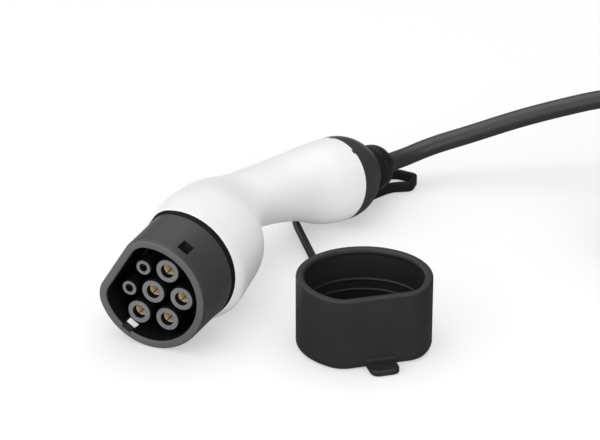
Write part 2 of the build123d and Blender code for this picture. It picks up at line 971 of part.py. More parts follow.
with BuildPart() as cable:
    with BuildLine() as cable_line:
        FilletPolyline(*cable_route, radius=cable_radii)
    with BuildSketch(cable_seat):
        Circle(cable_diameter / 2)
    sweep()
save(cable, "cable")
cable_length = sum(edge.length for edge in cable_line.edges())
expected = cable_length * (cable_diameter / 2) ** 2 * radians(180)
print("cable radii", [round(radius) for radius in cable_radii])
print("cable length", round(cable_length, 1), "volume ratio", cable.part.volume / expected)

# ---- coil: the outer form of the stored turns, with both straight ends ----
coil_base = Plane(origin=(*coil_middle, 0))
with BuildPart() as cable_coil:
    with BuildSketch(Plane(origin=coil_base.origin, x_dir=(1, 0, 0), z_dir=(0, -1, 0))):
        with Locations((coil_mid_radius, coil_layers * cable_diameter / 2 - coil_play)):
            RectangleRounded(
                2 * coil_spread + cable_diameter - 2 * coil_play,
                coil_layers * cable_diameter - 2 * coil_play,
                cable_diameter / 2 - coil_play,
            )
    revolve(axis=Axis(coil_base.origin, (0, 0, 1)))
    with BuildSketch(Plane(cable_stop, z_dir=coil_heading)):
        Circle(cable_diameter / 2)
    extrude(amount=stub_length)
    coil_exit = Plane(
        origin=(
            coil_middle[0] + coil_outer_turn,
            coil_middle[1],
            cable_diameter / 2 + coil_play,
        ),
        x_dir=(1, 0, 0),
        z_dir=(0, -1, 0),
    )
    with BuildSketch(coil_exit):
        Circle(cable_diameter / 2)
    extrude(amount=stub_length)
save(cable_coil, "cable_coil")

# ---- end of the cable: shrink boot and stripped cores with ferrules ----
boot_front = coil_exit.offset(stub_length)
boot_back = boot_front.offset(boot_length)
with BuildPart() as cable_end_boot:
    with BuildSketch(boot_front):
        Circle(cable_diameter / 2)
    with BuildSketch(boot_back):
        Circle(boot_end_radius)
    loft()
save(cable_end_boot, "cable_end_boot")

with BuildPart() as cable_tails:
    for name, end in core_ends.items():
        diameter = pilot_diameter if name == "pilot" else core_diameter
        extrude(discs(boot_back, [end], diameter / 2), amount=tail_length)
        extrude(
            discs(boot_back.offset(tail_length), [end], ferrule_radius),
            amount=ferrule_length,
        )
save(cable_tails, "cable_tails")

stored = coil_turns * radians(360) * coil_mid_radius
print("stored length", round(stored), "with both ends", round(stored + 2 * stub_length))
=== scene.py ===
import json
import math

import bmesh
import bpy
import numpy as np
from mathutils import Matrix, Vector

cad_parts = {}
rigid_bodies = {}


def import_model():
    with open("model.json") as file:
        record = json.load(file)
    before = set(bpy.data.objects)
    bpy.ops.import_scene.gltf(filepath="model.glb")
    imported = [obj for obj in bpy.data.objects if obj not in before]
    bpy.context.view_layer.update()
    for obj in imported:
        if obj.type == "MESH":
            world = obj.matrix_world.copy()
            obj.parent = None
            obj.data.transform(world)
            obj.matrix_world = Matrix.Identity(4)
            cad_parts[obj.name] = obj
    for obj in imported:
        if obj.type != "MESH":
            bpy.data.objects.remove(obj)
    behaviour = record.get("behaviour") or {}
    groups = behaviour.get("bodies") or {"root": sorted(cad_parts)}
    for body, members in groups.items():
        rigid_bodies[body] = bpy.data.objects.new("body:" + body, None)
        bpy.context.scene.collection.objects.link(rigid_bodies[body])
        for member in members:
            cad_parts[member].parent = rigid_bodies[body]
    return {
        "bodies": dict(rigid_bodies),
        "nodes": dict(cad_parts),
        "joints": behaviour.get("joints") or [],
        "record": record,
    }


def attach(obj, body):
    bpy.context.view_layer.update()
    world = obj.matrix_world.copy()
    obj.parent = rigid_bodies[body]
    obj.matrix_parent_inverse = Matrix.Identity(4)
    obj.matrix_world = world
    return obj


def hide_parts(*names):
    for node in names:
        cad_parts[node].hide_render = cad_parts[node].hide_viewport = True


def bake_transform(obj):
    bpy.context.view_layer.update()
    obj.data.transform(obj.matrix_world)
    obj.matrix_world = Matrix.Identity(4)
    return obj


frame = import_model()
nodes, record = frame["nodes"], frame["record"]
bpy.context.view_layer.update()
mm = 0.001

# ---------- seats: where the nose and the grip sit in the part ----------
mountAt = {m["name"]: np.array(m["pos_m"]) / mm for m in record["mounts"]}
mountAxis = {m["name"]: np.array(m["axis"]) for m in record["mounts"]}
ringJoint = frame["joints"][0]

seats = {
    "pinBehindRim": 19.21,  # middle of the earth contact's bore
    "ringBehindGrip": 28.35,  # middle of the tether ring, behind the end of the grip
    "housingFront": 36.0,
    "headLength": 78.7,
    "gripLength": 79.4,
    "gripBend": 17.9,
}


def unit(vector):
    return vector / np.linalg.norm(vector)


def seatOf(origin, front, across):
    """A seat: x across, y up the flat side, front out of the nose."""
    across = unit(across - front * (across @ front))
    return {"origin": origin, "x": across, "y": np.cross(front, across), "front": front}


def put(seat, x, y, back):
    """Points at x and y across a seat, and back behind it. Arrays spread over each other."""
    x, y, back = (np.asarray(v, float)[..., None] for v in (x, y, back))
    return seat["origin"] + x * seat["x"] + y * seat["y"] - back * seat["front"]


noseFront = unit(mountAxis["pin_earth"])
noseSeat = seatOf(
    mountAt["pin_earth"] + noseFront * seats["pinBehindRim"],
    noseFront,
    mountAt["pin_line_2"] - mountAt["pin_line_1"],
)
gripFront = unit(np.array(ringJoint["axis"], float))
gripSeat = seatOf(
    np.array(ringJoint["pos_m"]) / mm + gripFront * seats["ringBehindGrip"],
    gripFront,
    noseSeat["x"],
)


# ---------- camera ----------
camera = {
    "place": (0.5016, -1.1646, 0.5992),
    "target": (-0.0476, 0.0517, 0.0),
    "lens": 150,
    "sensor": 36,
}
cameraData = bpy.data.cameras.new("camera")
cameraData.lens = camera["lens"]
cameraData.sensor_width = camera["sensor"]
cameraData.clip_start, cameraData.clip_end = 0.05, 30
cameraObject = bpy.data.objects.new("camera", cameraData)
bpy.context.scene.collection.objects.link(cameraObject)
cameraObject.location = camera["place"]
aim = Vector(camera["target"]) - Vector(camera["place"])
cameraObject.rotation_euler = aim.to_track_quat("-Z", "Y").to_euler()
bpy.context.scene.camera = cameraObject
print("camera ready")


# ---------- materials ----------
def feed(tree, node, inputs):
    """Sets a node's inputs: to a value, or to another node's output by a link."""
    for key, value in inputs.items():
        if isinstance(value, bpy.types.NodeSocket):
            tree.links.new(value, node.inputs[key])
        else:
            node.inputs[key].default_value = value


def nodeOf(tree, kind, inputs=None, **settings):
    """A new shader node with its settings and inputs."""
    node = tree.nodes.new("ShaderNode" + kind)
    for key, value in settings.items():
        setattr(node, key, value)
    feed(tree, node, inputs or {})
    return node


def finishOf(
    name,
    colour,
    other=None,
    patch=60.0,
    rough=0.5,
    roughSpread=0.05,
    grain=2600.0,
    grainHeight=0.00004,
    grainStrength=0.25,
    stretch=(1, 1, 1),
    metallic=0.0,
    specular=0.5,
    deep=None,
):
    """Two close colours in soft patches, a roughness that wanders a little, and a fine
    grain in relief; if asked, painted shade that darkens the colour along Y."""
    material = bpy.data.materials.new(name)
    material.use_nodes = True
    tree = material.node_tree
    place = nodeOf(tree, "TexCoord").outputs["Object"]

    clouds = nodeOf(tree, "TexNoise", {"Scale": patch, "Detail": 3, "Vector": place})
    blend = nodeOf(tree, "ValToRGB", {"Fac": clouds.outputs["Fac"]})
    tones = (colour, other or [c * 1.12 for c in colour])
    for element, position, tone in zip(blend.color_ramp.elements, (0.3, 0.7), tones):
        element.position = position
        element.color = (*tone, 1)
    colourOut = blend.outputs["Color"]
    if deep:
        # painted shade: the colour goes to a darker grey along Y, from the first place to the
        # second
        start, end, grey = deep
        along = nodeOf(tree, "SeparateXYZ", {"Vector": place}).outputs["Y"]
        ramp = nodeOf(tree, "MapRange", {"From Min": start, "From Max": end, "Value": along})
        share = ramp.outputs["Result"]
        darker = nodeOf(
            tree,
            "Mix",
            {"Factor": share, 6: colourOut, 7: (grey, grey, grey, 1)},
            data_type="RGBA",
        )
        colourOut = darker.outputs[2]

    wander = nodeOf(tree, "TexNoise", {"Scale": patch * 3.1, "Detail": 4, "Vector": place})
    spread = nodeOf(
        tree,
        "MapRange",
        {
            "From Min": 0.3,
            "From Max": 0.7,
            "To Min": rough - roughSpread,
            "To Max": rough + roughSpread,
            "Value": wander.outputs["Fac"],
        },
    )
    stretched = nodeOf(tree, "Mapping", {"Scale": stretch, "Vector": place}).outputs["Vector"]
    relief = nodeOf(tree, "TexNoise", {"Scale": grain, "Detail": 2, "Vector": stretched})
    bump = nodeOf(
        tree,
        "Bump",
        {"Strength": grainStrength, "Distance": grainHeight, "Height": relief.outputs["Fac"]},
    )
    feed(
        tree,
        tree.nodes["Principled BSDF"],
        {
            "Metallic": metallic,
            "Specular IOR Level": specular,
            "Base Color": colourOut,
            "Roughness": spread.outputs["Result"],
            "Normal": bump.outputs["Normal"],
        },
    )
    return material


finishes = {
    "housingPlastic": dict(
        colour=(0.74, 0.74, 0.75), other=(0.76, 0.76, 0.77), rough=0.42, grain=3400
    ),
    "nosePlastic": dict(
        colour=(0.034, 0.033, 0.034),
        other=(0.039, 0.038, 0.039),
        rough=0.48,
        patch=45,
        specular=0.5,
    ),
    # painted highlight: the rim's front face is lighter where it faces the front lights
    "noseRim": dict(colour=(0.072, 0.070, 0.072), rough=0.45),
    # painted shade: near black for the cavity's walls, the lock windows and the carrier's sides
    "noseInside": dict(colour=(0.005, 0.005, 0.005), rough=0.7, specular=0.1),
    "carrierPlastic": dict(
        colour=(0.125, 0.125, 0.13),
        other=(0.14, 0.14, 0.145),
        rough=0.55,
        patch=140,
        # painted shade: the carrier goes near black deeper in the cavity, where shade falls
        deep=(-0.1257, -0.1235, 0.005),
    ),
    "retainerPlastic": dict(colour=(0.10, 0.10, 0.10), rough=0.55),
    "contactBrass": dict(
        colour=(0.95, 0.80, 0.56),
        other=(0.88, 0.73, 0.50),
        patch=500,
        rough=0.45,
        metallic=0.25,
        grain=1500,
        stretch=(0.3, 4, 0.3),
    ),
    "contactSilver": dict(
        colour=(0.74, 0.73, 0.70),
        patch=500,
        rough=0.28,
        metallic=1.0,
        grain=1500,
        stretch=(0.3, 4, 0.3),
    ),
    "screwSteel": dict(colour=(0.58, 0.58, 0.58), rough=0.35, metallic=1.0),
    "sealRubber": dict(colour=(0.006, 0.006, 0.006), rough=0.65, specular=0.1),
    "collarPlastic": dict(
        colour=(0.026, 0.025, 0.027), other=(0.030, 0.029, 0.031), rough=0.38, patch=50
    ),
    "nutPlastic": dict(
        colour=(0.005, 0.005, 0.005), other=(0.007, 0.007, 0.007), rough=0.36, patch=80
    ),
    "tetherRubber": dict(
        colour=(0.009, 0.009, 0.009),
        other=(0.012, 0.012, 0.012),
        rough=0.5,
        patch=70,
        specular=0.2,
    ),
    "capRubber": dict(
        colour=(0.015, 0.0145, 0.0155),
        other=(0.018, 0.0175, 0.0185),
        rough=0.46,
        specular=0.35,
        patch=40,
        grain=3000,
    ),
    "cableJacket": dict(
        colour=(0.024, 0.023, 0.024), other=(0.028, 0.027, 0.028), rough=0.42, patch=60
    ),
    "bootRubber": dict(colour=(0.012, 0.012, 0.012), rough=0.5, specular=0.3),
    "tieFabric": dict(colour=(0.018, 0.018, 0.019), rough=0.8, grain=1500, grainHeight=0.0002),
    "coreGreen": dict(colour=(0.10, 0.30, 0.05), other=(0.62, 0.55, 0.05), rough=0.35),
    "ferruleTin": dict(colour=(0.66, 0.66, 0.65), rough=0.3, metallic=1.0),
    "resistorBody": dict(colour=(0.50, 0.40, 0.26), rough=0.4),
}
coreColours = {
    "coreBrown": (0.16, 0.07, 0.03),
    "coreBlack": (0.02, 0.02, 0.02),
    "coreGrey": (0.26, 0.26, 0.26),
    "coreBlue": (0.03, 0.12, 0.42),
    "coreWhite": (0.70, 0.70, 0.67),
}
finishes |= {name: dict(colour=colour, rough=0.35) for name, colour in coreColours.items()}
finish = {name: finishOf(name, **values) for name, values in finishes.items()}


def finishFor(slotName):
    """A slot's finish has the slot's name, written without underscores."""
    first, *rest = slotName.split("_")
    return first + "".join(word.capitalize() for word in rest)


nodeSlot = {part["node"]: part["material_slot"] for part in record["subparts"]}
for nodeName, node in nodes.items():
    node.data.materials.clear()
    node.data.materials.append(finish[finishFor(nodeSlot[nodeName])])
print("materials ready:", len(finish))


# ---------- mesh helpers ----------
def settle(mesh, sharp=32, recalculate=True):
    """Outward faces, smooth shading, and sharp edges where faces meet steeply."""
    if recalculate:
        work = bmesh.new()
        work.from_mesh(mesh)
        bmesh.ops.recalc_face_normals(work, faces=work.faces)
        work.to_mesh(mesh)
        work.free()
    mesh.polygons.foreach_set("use_smooth", np.ones(len(mesh.polygons), bool))
    mesh.set_sharp_from_angle(angle=math.radians(sharp))
    mesh.update()


def looseObject(name, mesh):
    piece = bpy.data.objects.new(name, mesh)
    bpy.context.scene.collection.objects.link(piece)
    return piece


def skin(name, rows, poles=None, sharp=32):
    """A closed surface over rows of points in mm: each row closes on itself. The rows
    close on the first row too, unless two poles close the ends."""
    count, around = rows.shape[:2]
    points = rows.reshape(-1, 3)
    steps = count if poles is None else count - 1
    i, j = np.arange(steps)[:, None], np.arange(around)[None, :]
    here, after = i * around, ((i + 1) % count) * around
    turn = (j + 1) % around
    quads = np.stack([here + j, here + turn, after + turn, after + j], -1)
    faces = quads.reshape(-1, 4).tolist()
    if poles is not None:
        points = np.vstack([points, poles])
        edge = np.arange(around)
        last = (count - 1) * around
        first, end = count * around, count * around + 1
        low = np.stack([np.full(around, first), (edge + 1) % around, edge], -1)
        high = np.stack([np.full(around, end), last + edge, last + (edge + 1) % around], -1)
        faces += low.tolist() + high.tolist()
    mesh = bpy.data.meshes.new(name)
    mesh.from_pydata((points * mm).tolist(), [], faces)
    mesh.validate()
    settle(mesh, sharp)
    return looseObject(name, mesh)


def prism(name, loopA, loopB):
    """A straight body between two equal flat outlines."""
    count = len(loopA)
    mesh = bpy.data.meshes.new(name)
    edge = np.arange(count)
    after = (edge + 1) % count
    sides = np.stack([edge, after, count + after, count + edge], -1).tolist()
    caps = [edge[::-1].tolist(), (count + edge).tolist()]
    mesh.from_pydata((np.vstack([loopA, loopB]) * mm).tolist(), [], sides + caps)
    settle(mesh)
    return looseObject(name, mesh)


def brick(name, seat, x, y, back):
    """A box between low and high values of x, y and back in a seat."""
    cornersX = np.array([x[0], x[1], x[1], x[0]])
    cornersY = np.array([y[0], y[0], y[1], y[1]])
    return prism(
        name, put(seat, cornersX, cornersY, back[0]), put(seat, cornersX, cornersY, back[1])
    )


def carve(piece, tools, operation="DIFFERENCE", sharp=32):
    """Cuts the tools out of a piece, or joins them to it, for good."""
    for tool in tools:
        cut = piece.modifiers.new("cut", "BOOLEAN")
        cut.operation = operation
        cut.solver = "EXACT"
        cut.object = tool
    bpy.context.view_layer.update()
    shaped = piece.evaluated_get(bpy.context.evaluated_depsgraph_get())
    mesh = bpy.data.meshes.new_from_object(shaped)
    piece.modifiers.clear()
    piece.data = mesh
    settle(mesh, sharp, recalculate=False)
    for tool in tools:
        bpy.data.objects.remove(tool)
    return piece


def welded(name, node, sharp=30):
    """A copy of a CAD mesh with its loose triangles joined where their corners meet."""
    source = nodes[node].data
    points = np.empty(len(source.vertices) * 3)
    source.vertices.foreach_get("co", points)
    corners = np.empty(len(source.polygons) * 3, int)
    source.polygons.foreach_get("vertices", corners)
    keys = np.round(points.reshape(-1, 3) / 2e-7).astype(np.int64)
    unused, first, same = np.unique(keys, axis=0, return_index=True, return_inverse=True)
    triangles = same.ravel()[corners].reshape(-1, 3)
    flat = (
        (triangles[:, 0] == triangles[:, 1])
        | (triangles[:, 1] == triangles[:, 2])
        | (triangles[:, 2] == triangles[:, 0])
    )
    mesh = bpy.data.meshes.new(name)
    mesh.from_pydata(points.reshape(-1, 3)[first].tolist(), [], triangles[~flat].tolist())
    settle(mesh, sharp, recalculate=False)
    return looseObject(name, mesh)


def joinPiece(piece, body, slot, *stoodFor, material=None):
    """Gives a finished piece the material of its slot and its body, and hides the nodes that it
    stands for.
    """
    piece.data.materials.clear()
    piece.data.materials.append(finish[material or finishFor(slot)])
    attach(piece, body)
    if stoodFor:
        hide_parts(*stoodFor)
    return piece


def faceMiddles(piece):
    """The middles of a piece's faces, in mm."""
    middles = np.empty(len(piece.data.polygons) * 3)
    piece.data.polygons.foreach_get("center", middles)
    return middles.reshape(-1, 3) / mm


def faceFronts(piece, direction):
    """How far each face of a piece looks along a direction, from -1 to 1."""
    normals = np.empty(len(piece.data.polygons) * 3)
    piece.data.polygons.foreach_get("normal", normals)
    return normals.reshape(-1, 3) @ direction


def finishFaces(piece, name, chosen):
    """Gives the chosen faces one more finish."""
    piece.data.materials.append(finish[name])
    index = np.empty(len(piece.data.polygons), np.int32)
    piece.data.polygons.foreach_get("material_index", index)
    index[chosen] = len(piece.data.materials) - 1
    piece.data.polygons.foreach_set("material_index", index)


def inSeat(points, seat):
    """Places across a seat, up its flat side and behind its front."""
    fromSeat = points - seat["origin"]
    return fromSeat @ seat["x"], fromSeat @ seat["y"], -fromSeat @ seat["front"]


def cornerCurves(start, corners, end, steps):
    """Curves from each start to each end, drawn towards the corners between them."""
    t = np.linspace(0, 1, steps)[None, :, None]
    curve = (1 - t) ** 2 * start[:, None] + 2 * t * (1 - t) * corners[:, None]
    return (curve + t**2 * end[:, None]).reshape(-1, 2)


def roundedProfile(corners, radii, steps=6):
    """A closed profile whose corners are rounded: each becomes the curve that leaves one
    side and meets the other where a circle of that radius would touch them."""
    corners = np.array(corners, float)
    radii = np.broadcast_to(np.asarray(radii, float), len(corners))
    back, on = np.roll(corners, 1, 0) - corners, np.roll(corners, -1, 0) - corners
    backLength = np.linalg.norm(back, axis=1)
    onLength = np.linalg.norm(on, axis=1)
    cosine = (back * on).sum(1) / (backLength * onLength)
    half = (math.pi - np.arccos(np.clip(cosine, -1, 1))) / 2
    reach = np.minimum(radii * np.tan(half), 0.49 * np.minimum(backLength, onLength))
    start = corners + back * (reach / backLength)[:, None]
    end = corners + on * (reach / onLength)[:, None]
    return cornerCurves(start, corners, end, steps)


def bezier(controls, count):
    """Points of a Bezier curve, by repeated weighing of its controls."""
    t = np.linspace(0, 1, count)[:, None]
    level = [np.array(c, float)[None] * np.ones_like(t) for c in controls]
    while len(level) > 1:
        level = [(1 - t) * a + t * b for a, b in zip(level, level[1:])]
    return level[0]


def turnedRows(profile, seat, around=96):
    """A profile of (radius, distance behind the seat) carried round the seat's axis."""
    angle = np.linspace(0, 2 * math.pi, around, endpoint=False)
    radius, back = profile[:, 0][:, None], profile[:, 1][:, None]
    return put(seat, radius * np.cos(angle), radius * np.sin(angle), back + 0 * angle)


def naturalCurve(positions, values, at):
    """Smooth curves through values at uneven positions, with straight ends: the second
    derivatives are solved for all positions at once, then each span is a cubic."""
    positions, values = np.array(positions, float), np.array(values, float)
    count, gaps = len(positions), np.diff(positions)
    slopes = np.diff(values, axis=0) / gaps[:, None]
    system = np.eye(count)
    wanted = np.zeros_like(values)
    inner = np.arange(1, count - 1)
    system[inner, inner - 1] = gaps[:-1]
    system[inner, inner] = 2 * (gaps[:-1] + gaps[1:])
    system[inner, inner + 1] = gaps[1:]
    wanted[1:-1] = 6 * np.diff(slopes, axis=0)
    bend = np.linalg.solve(system, wanted)
    span = np.clip(np.searchsorted(positions, at, side="right") - 1, 0, count - 2)
    h = gaps[span][:, None]
    a = (positions[span + 1] - at)[:, None]
    b = (at - positions[span])[:, None]
    low, high = bend[span], bend[span + 1]
    return (
        (low * a**3 + high * b**3) / (6 * h)
        + (values[span] / h - low * h / 6) * a
        + (values[span + 1] / h - high * h / 6) * b
    )


def quarterTurn(count):
    return np.linspace(0, math.pi / 2, count)


# ---------- cable: one length from the gland to the stripped end ----------
cable = {
    "diameter": 11.0,
    "gripToExit": 45.65,
    "firstRun": 20.0,
    "lastRun": 20.0,
    "stub": 45.0,
    "turns": 11.0 + 89.0 / 360,
    "layers": 4,
    "middleRadius": 66.0,
    "spread": 14.45,
    "join": 89.0,  # where the cable meets the coil, in degrees round it
    "endLift": 0.9,  # the boot lies on the floor and is thicker than the jacket
    "drop": 0.25,  # share of a turn over which it goes down a layer
    "pointsPerTurn": 24,
}
# the middle of the rim on the floor plan is the start of the cable's and the tether's points
planStart = np.array([noseSeat["origin"][0], noseSeat["origin"][1], 0.0])
cablePoints = [
    (50.0, 269.7, 21.9),
    (70.8, 283.5, 28.1),
    (94.9, 296.9, 36.9),
    (120.7, 310.2, 44.4),
    (146.1, 323.0, 50.6),
    (172.0, 332.1, 48.8),
]
coilCentre = planStart + np.array([260.0, 255.0, 0.0])
joinAngle = math.radians(cable["join"])
outerTurn = cable["middleRadius"] + cable["spread"]
coilTop = (cable["layers"] - 0.5) * cable["diameter"]
coilHeading = np.array([math.sin(joinAngle), -math.cos(joinAngle), 0.0])
coilTouch = coilCentre + outerTurn * np.array([math.cos(joinAngle), math.sin(joinAngle), 0.0])
coilTouch[2] = coilTop
cableExit = put(gripSeat, 0, 0, cable["gripToExit"])
cableStop = coilTouch - coilHeading * cable["stub"]
freeStretch = np.vstack(
    [
        cableExit,
        put(gripSeat, 0, 0, cable["gripToExit"] + cable["firstRun"]),
        planStart + np.array(cablePoints),
        cableStop - coilHeading * cable["lastRun"],
        cableStop,
    ]
)


def coilTurns():
    """The stored turns: each layer winds from one side of the ring to the other, a
    diameter per turn, then goes down a layer over a quarter turn at the same radius."""
    perLayer = (cable["turns"] - (cable["layers"] - 1) * cable["drop"]) / cable["layers"]
    cycle = perLayer + cable["drop"]
    steps = int(round(cable["turns"] * cable["pointsPerTurn"]))
    turn = np.linspace(0, cable["turns"], steps + 1)
    layer = np.minimum(turn // cycle, cable["layers"] - 1)
    along = turn - layer * cycle
    wound = np.minimum(along, perLayer) / perLayer
    inward = np.where(layer % 2 == 0, wound, 1 - wound)
    ease = np.clip((along - perLayer) / cable["drop"], 0, 1)
    ease = ease * ease * (3 - 2 * ease)
    reach = math.pi / cable["pointsPerTurn"]
    outside = 1 / math.cos(reach)  # the spline runs inside its corners by this much
    radius = (outerTurn - 2 * cable["spread"] * inward) * outside
    angle = joinAngle - 2 * math.pi * turn
    height = coilTop - (layer + ease) * cable["diameter"]
    flat = np.stack([np.cos(angle) * radius, np.sin(angle) * radius], -1)
    return np.column_stack([coilCentre[:2] + flat, height])


coilPoints = coilTurns()
coilExit = coilCentre + np.array([outerTurn, 0.0, cable["diameter"] / 2])
cableEnd = coilExit + np.array([0.0, -cable["stub"], cable["endLift"]])
cableLine = np.vstack(
    [
        freeStretch,
        coilTouch - coilHeading * 12,
        coilPoints,
        coilExit - np.array([0.0, 12.0, 0.0]),
        coilExit + np.array([0.0, -30.0, cable["endLift"]]),
        cableEnd,
    ]
)
cableCurve = bpy.data.curves.new("cable", "CURVE")
cableCurve.dimensions = "3D"
cableCurve.bevel_depth = cable["diameter"] / 2 * mm
cableCurve.bevel_resolution = 7
cableCurve.resolution_u = 4
cableCurve.use_fill_caps = True
cableSpline = cableCurve.splines.new("NURBS")
cableSpline.points.add(len(cableLine) - 1)
cableSpline.points.foreach_set(
    "co", np.column_stack([cableLine * mm, np.ones(len(cableLine))]).ravel()
)
cableSpline.order_u = 3
cableSpline.use_endpoint_u = True
cableObject = looseObject("cableCord", cableCurve)
joinPiece(cableObject, "plug", "cable_jacket", "cable", "cable_coil")
print("cable ready:", len(cableLine), "points")

# shrink boot over the end of the jacket
boot = {
    "length": 24.0,
    "profile": [(0, -3), (6.3, -3), (6.35, 6), (6.0, 16), (5.6, 22), (5.2, 24), (0, 24)],
}
endSeat = {
    "origin": cableEnd,
    "x": np.array([1.0, 0, 0]),
    "y": np.array([0, 0, 1.0]),
    "front": np.array([0, 1.0, 0]),
}
bootProfile = roundedProfile(boot["profile"], [0, 0.8, 6, 8, 4, 1.2, 0])
bootPiece = skin(
    "cableBoot",
    turnedRows(bootProfile[6:-6], endSeat, 48),
    poles=[put(endSeat, 0, 0, -3), put(endSeat, 0, 0, 24)],
)
joinPiece(bootPiece, "plug", "boot_rubber", "cable_end_boot")

# stripped cores with ferrules
tails = {
    "ring": 3.45,
    "core": 1.65,
    "pilot": 1.0,
    "length": 20.0,
    "collar": 1.9,
    "ferrule": 8.0,
    "ferruleRadius": 0.9,
    "splay": 1.6,
}
tailStop = boot["length"] + tails["length"]
sixth = tails["ring"] * math.sin(math.radians(60))
tailPlaces = {
    "coreBlack": (tails["ring"], 0),
    "coreGreen": (0, 0),
    "coreBrown": (-tails["ring"], 0),
    "coreGrey": (tails["ring"] / 2, -sixth),
    "coreBlue": (-tails["ring"] / 2, -sixth),
    "coreWhite": (tails["ring"] / 2, sixth),
}


def tailRows(place, radius):
    """A core that bends away a little from the cable's middle, with its ferrule's collar
    and pin: a circle carried along a line whose sideways place grows with the square."""
    start, stop = boot["length"] - 1, tailStop
    collar, tip, pin = tails["collar"], tails["ferrule"], tails["ferruleRadius"]
    profile = np.array(
        [(radius, start + (stop - start) * s) for s in np.linspace(0, 1, 9)]
        + [(radius + 0.25, stop + 0.01), (radius + 0.25, stop + collar)]
        + [(pin, stop + collar + 0.4), (pin, stop + tip - 0.3), (pin * 0.7, stop + tip)]
    )
    angle = np.linspace(0, 2 * math.pi, 20, endpoint=False)
    share = np.clip((profile[:, 1] - start) / (stop - start), 0, 2)
    out = 1 + tails["splay"] / tails["ring"] * share**2 * 0.35
    x = place[0] * out[:, None] + profile[:, 0][:, None] * np.cos(angle)
    y = place[1] * out[:, None] + profile[:, 0][:, None] * np.sin(angle)
    rows = put(endSeat, x, y, profile[:, 1][:, None] + 0 * angle)
    return rows, rows.mean(1)[[0, -1]]


for tailColour, tailPlace in tailPlaces.items():
    thickness = tails["pilot"] if tailColour == "coreWhite" else tails["core"]
    tailShape, tailEnds = tailRows(tailPlace, thickness)
    tailPiece = skin("tail_" + tailColour, tailShape, tailEnds)
    joinPiece(tailPiece, "plug", tailColour.replace("core", "core_").lower())
    behindEnd = cableEnd[1] - faceMiddles(tailPiece)[:, 1]
    finishFaces(tailPiece, "ferruleTin", behindEnd > tailStop + tails["collar"] + 0.05)
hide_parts("cable_tails")

# two ties round the stored turns
tie = {"width": 12.0, "thickness": 1.3, "corner": 7.0, "edge": 0.4, "angles": (205, 335)}


def tieRows(turnAngle):
    """A rounded frame round the bundle's section, carried a short way round the coil."""

    def frame(grow):
        """The bundle's outline, made wider and higher, with rounded corners."""
        reach = cable["spread"] + cable["diameter"] / 2 + grow
        top = cable["layers"] * cable["diameter"] + grow
        low, high = cable["middleRadius"] - reach, cable["middleRadius"] + reach
        corners = [(low, 0.1), (high, 0.1), (high, top), (low, top)]
        return roundedProfile(corners, tie["corner"] + grow, 8)

    outside = frame(tie["thickness"])
    inside = frame(0)
    inside = inside + (outside - inside) * 0.02
    shoulder = outside + (inside - outside) * 0.3
    half, edge = tie["width"] / 2, tie["edge"]
    middle = math.radians(turnAngle)
    radial = np.array([math.cos(middle), math.sin(middle), 0])
    along = np.array([-math.sin(middle), math.cos(middle), 0])
    upward = np.array([0, 0, 1.0])
    path = [(inside, -half), (shoulder, -half), (outside, -half + edge)]
    path += [(outside, half - edge), (shoulder, half), (inside, half)]
    rows = [
        coilCentre + loop[:, :1] * radial + loop[:, 1:] * upward + side * along
        for loop, side in path
    ]
    return np.array(rows)


for number, turnAngle in enumerate(tie["angles"], 1):
    tiePiece = skin(f"coilTie_{number}", tieRows(turnAngle))
    joinPiece(tiePiece, "plug", "boot_rubber", material="tieFabric")

print("cable end and ties ready")

# ---------- nose ----------
nose = {
    "rimRadius": 29.8,
    "rimFlat": 23.1,
    "edgeRadius": 31.5,
    "edgeFlat": 24.6,
    "edgeBack": 1.6,
    "corner": 14.2,
    "rearRadius": 31.75,
    "rearFlat": 25.2,
    "length": 32.4,
    "cavity": (26.9, 20.1, 10.5),  # radius, flat and corner
    "cavityDepth": 32.0,
    "shoulder": 0.4,
    "spigot": (28.3, 21.9, 11.9),  # radius, flat and corner
    "spigotLength": 17.2,
    "rimRound": 0.3,
    "mouthRound": 1.0,
    "lineBack": 3.2,  # fine line round the front
    "lineDepth": 0.14,
    "lockWidth": 6.4,
    "lockFront": 5.7,
    "lockLength": 4.9,
    "lockRamp": 3.6,
    "grooveDepth": 1.2,
    "grooveWidth": 5.8,
    "snapBack": 48.2,
    "snapWidth": 5.1,
    "snapLength": 2.3,
}


def outlineD(radius, flat, corner, arcSteps=120, cornerSteps=20, flatSteps=10):
    """A circle cut by one flat side at +Y, with large corners: the points run round the
    circle, round one corner, along the flat and round the other corner. Radius, flat and
    corner may be columns of numbers, one for each row."""
    radius, flat, corner = (np.atleast_1d(v)[:, None] for v in (radius, flat, corner))
    middleX = np.sqrt((radius - corner) ** 2 - (flat - corner) ** 2)
    rise = np.arctan2(flat - corner, middleX)

    def arc(x, y, size, start, sweep, steps):
        angle = start + np.linspace(0, 1, steps, endpoint=False)[None] * sweep
        return x + size * np.cos(angle), y + size * np.sin(angle)

    turn, middleY = math.pi / 2 - rise, flat - corner
    along = 1 - 2 * np.linspace(0, 1, flatSteps, endpoint=False)[None]
    parts = [
        arc(0, 0, radius, math.pi - rise, math.pi + 2 * rise, arcSteps),
        arc(middleX, middleY, corner, rise, turn, cornerSteps),
        (middleX * along, flat + 0 * middleX * along),
        arc(-middleX, middleY, corner, math.pi / 2, turn, cornerSteps),
    ]
    return [np.hstack(values) for values in zip(*parts)]


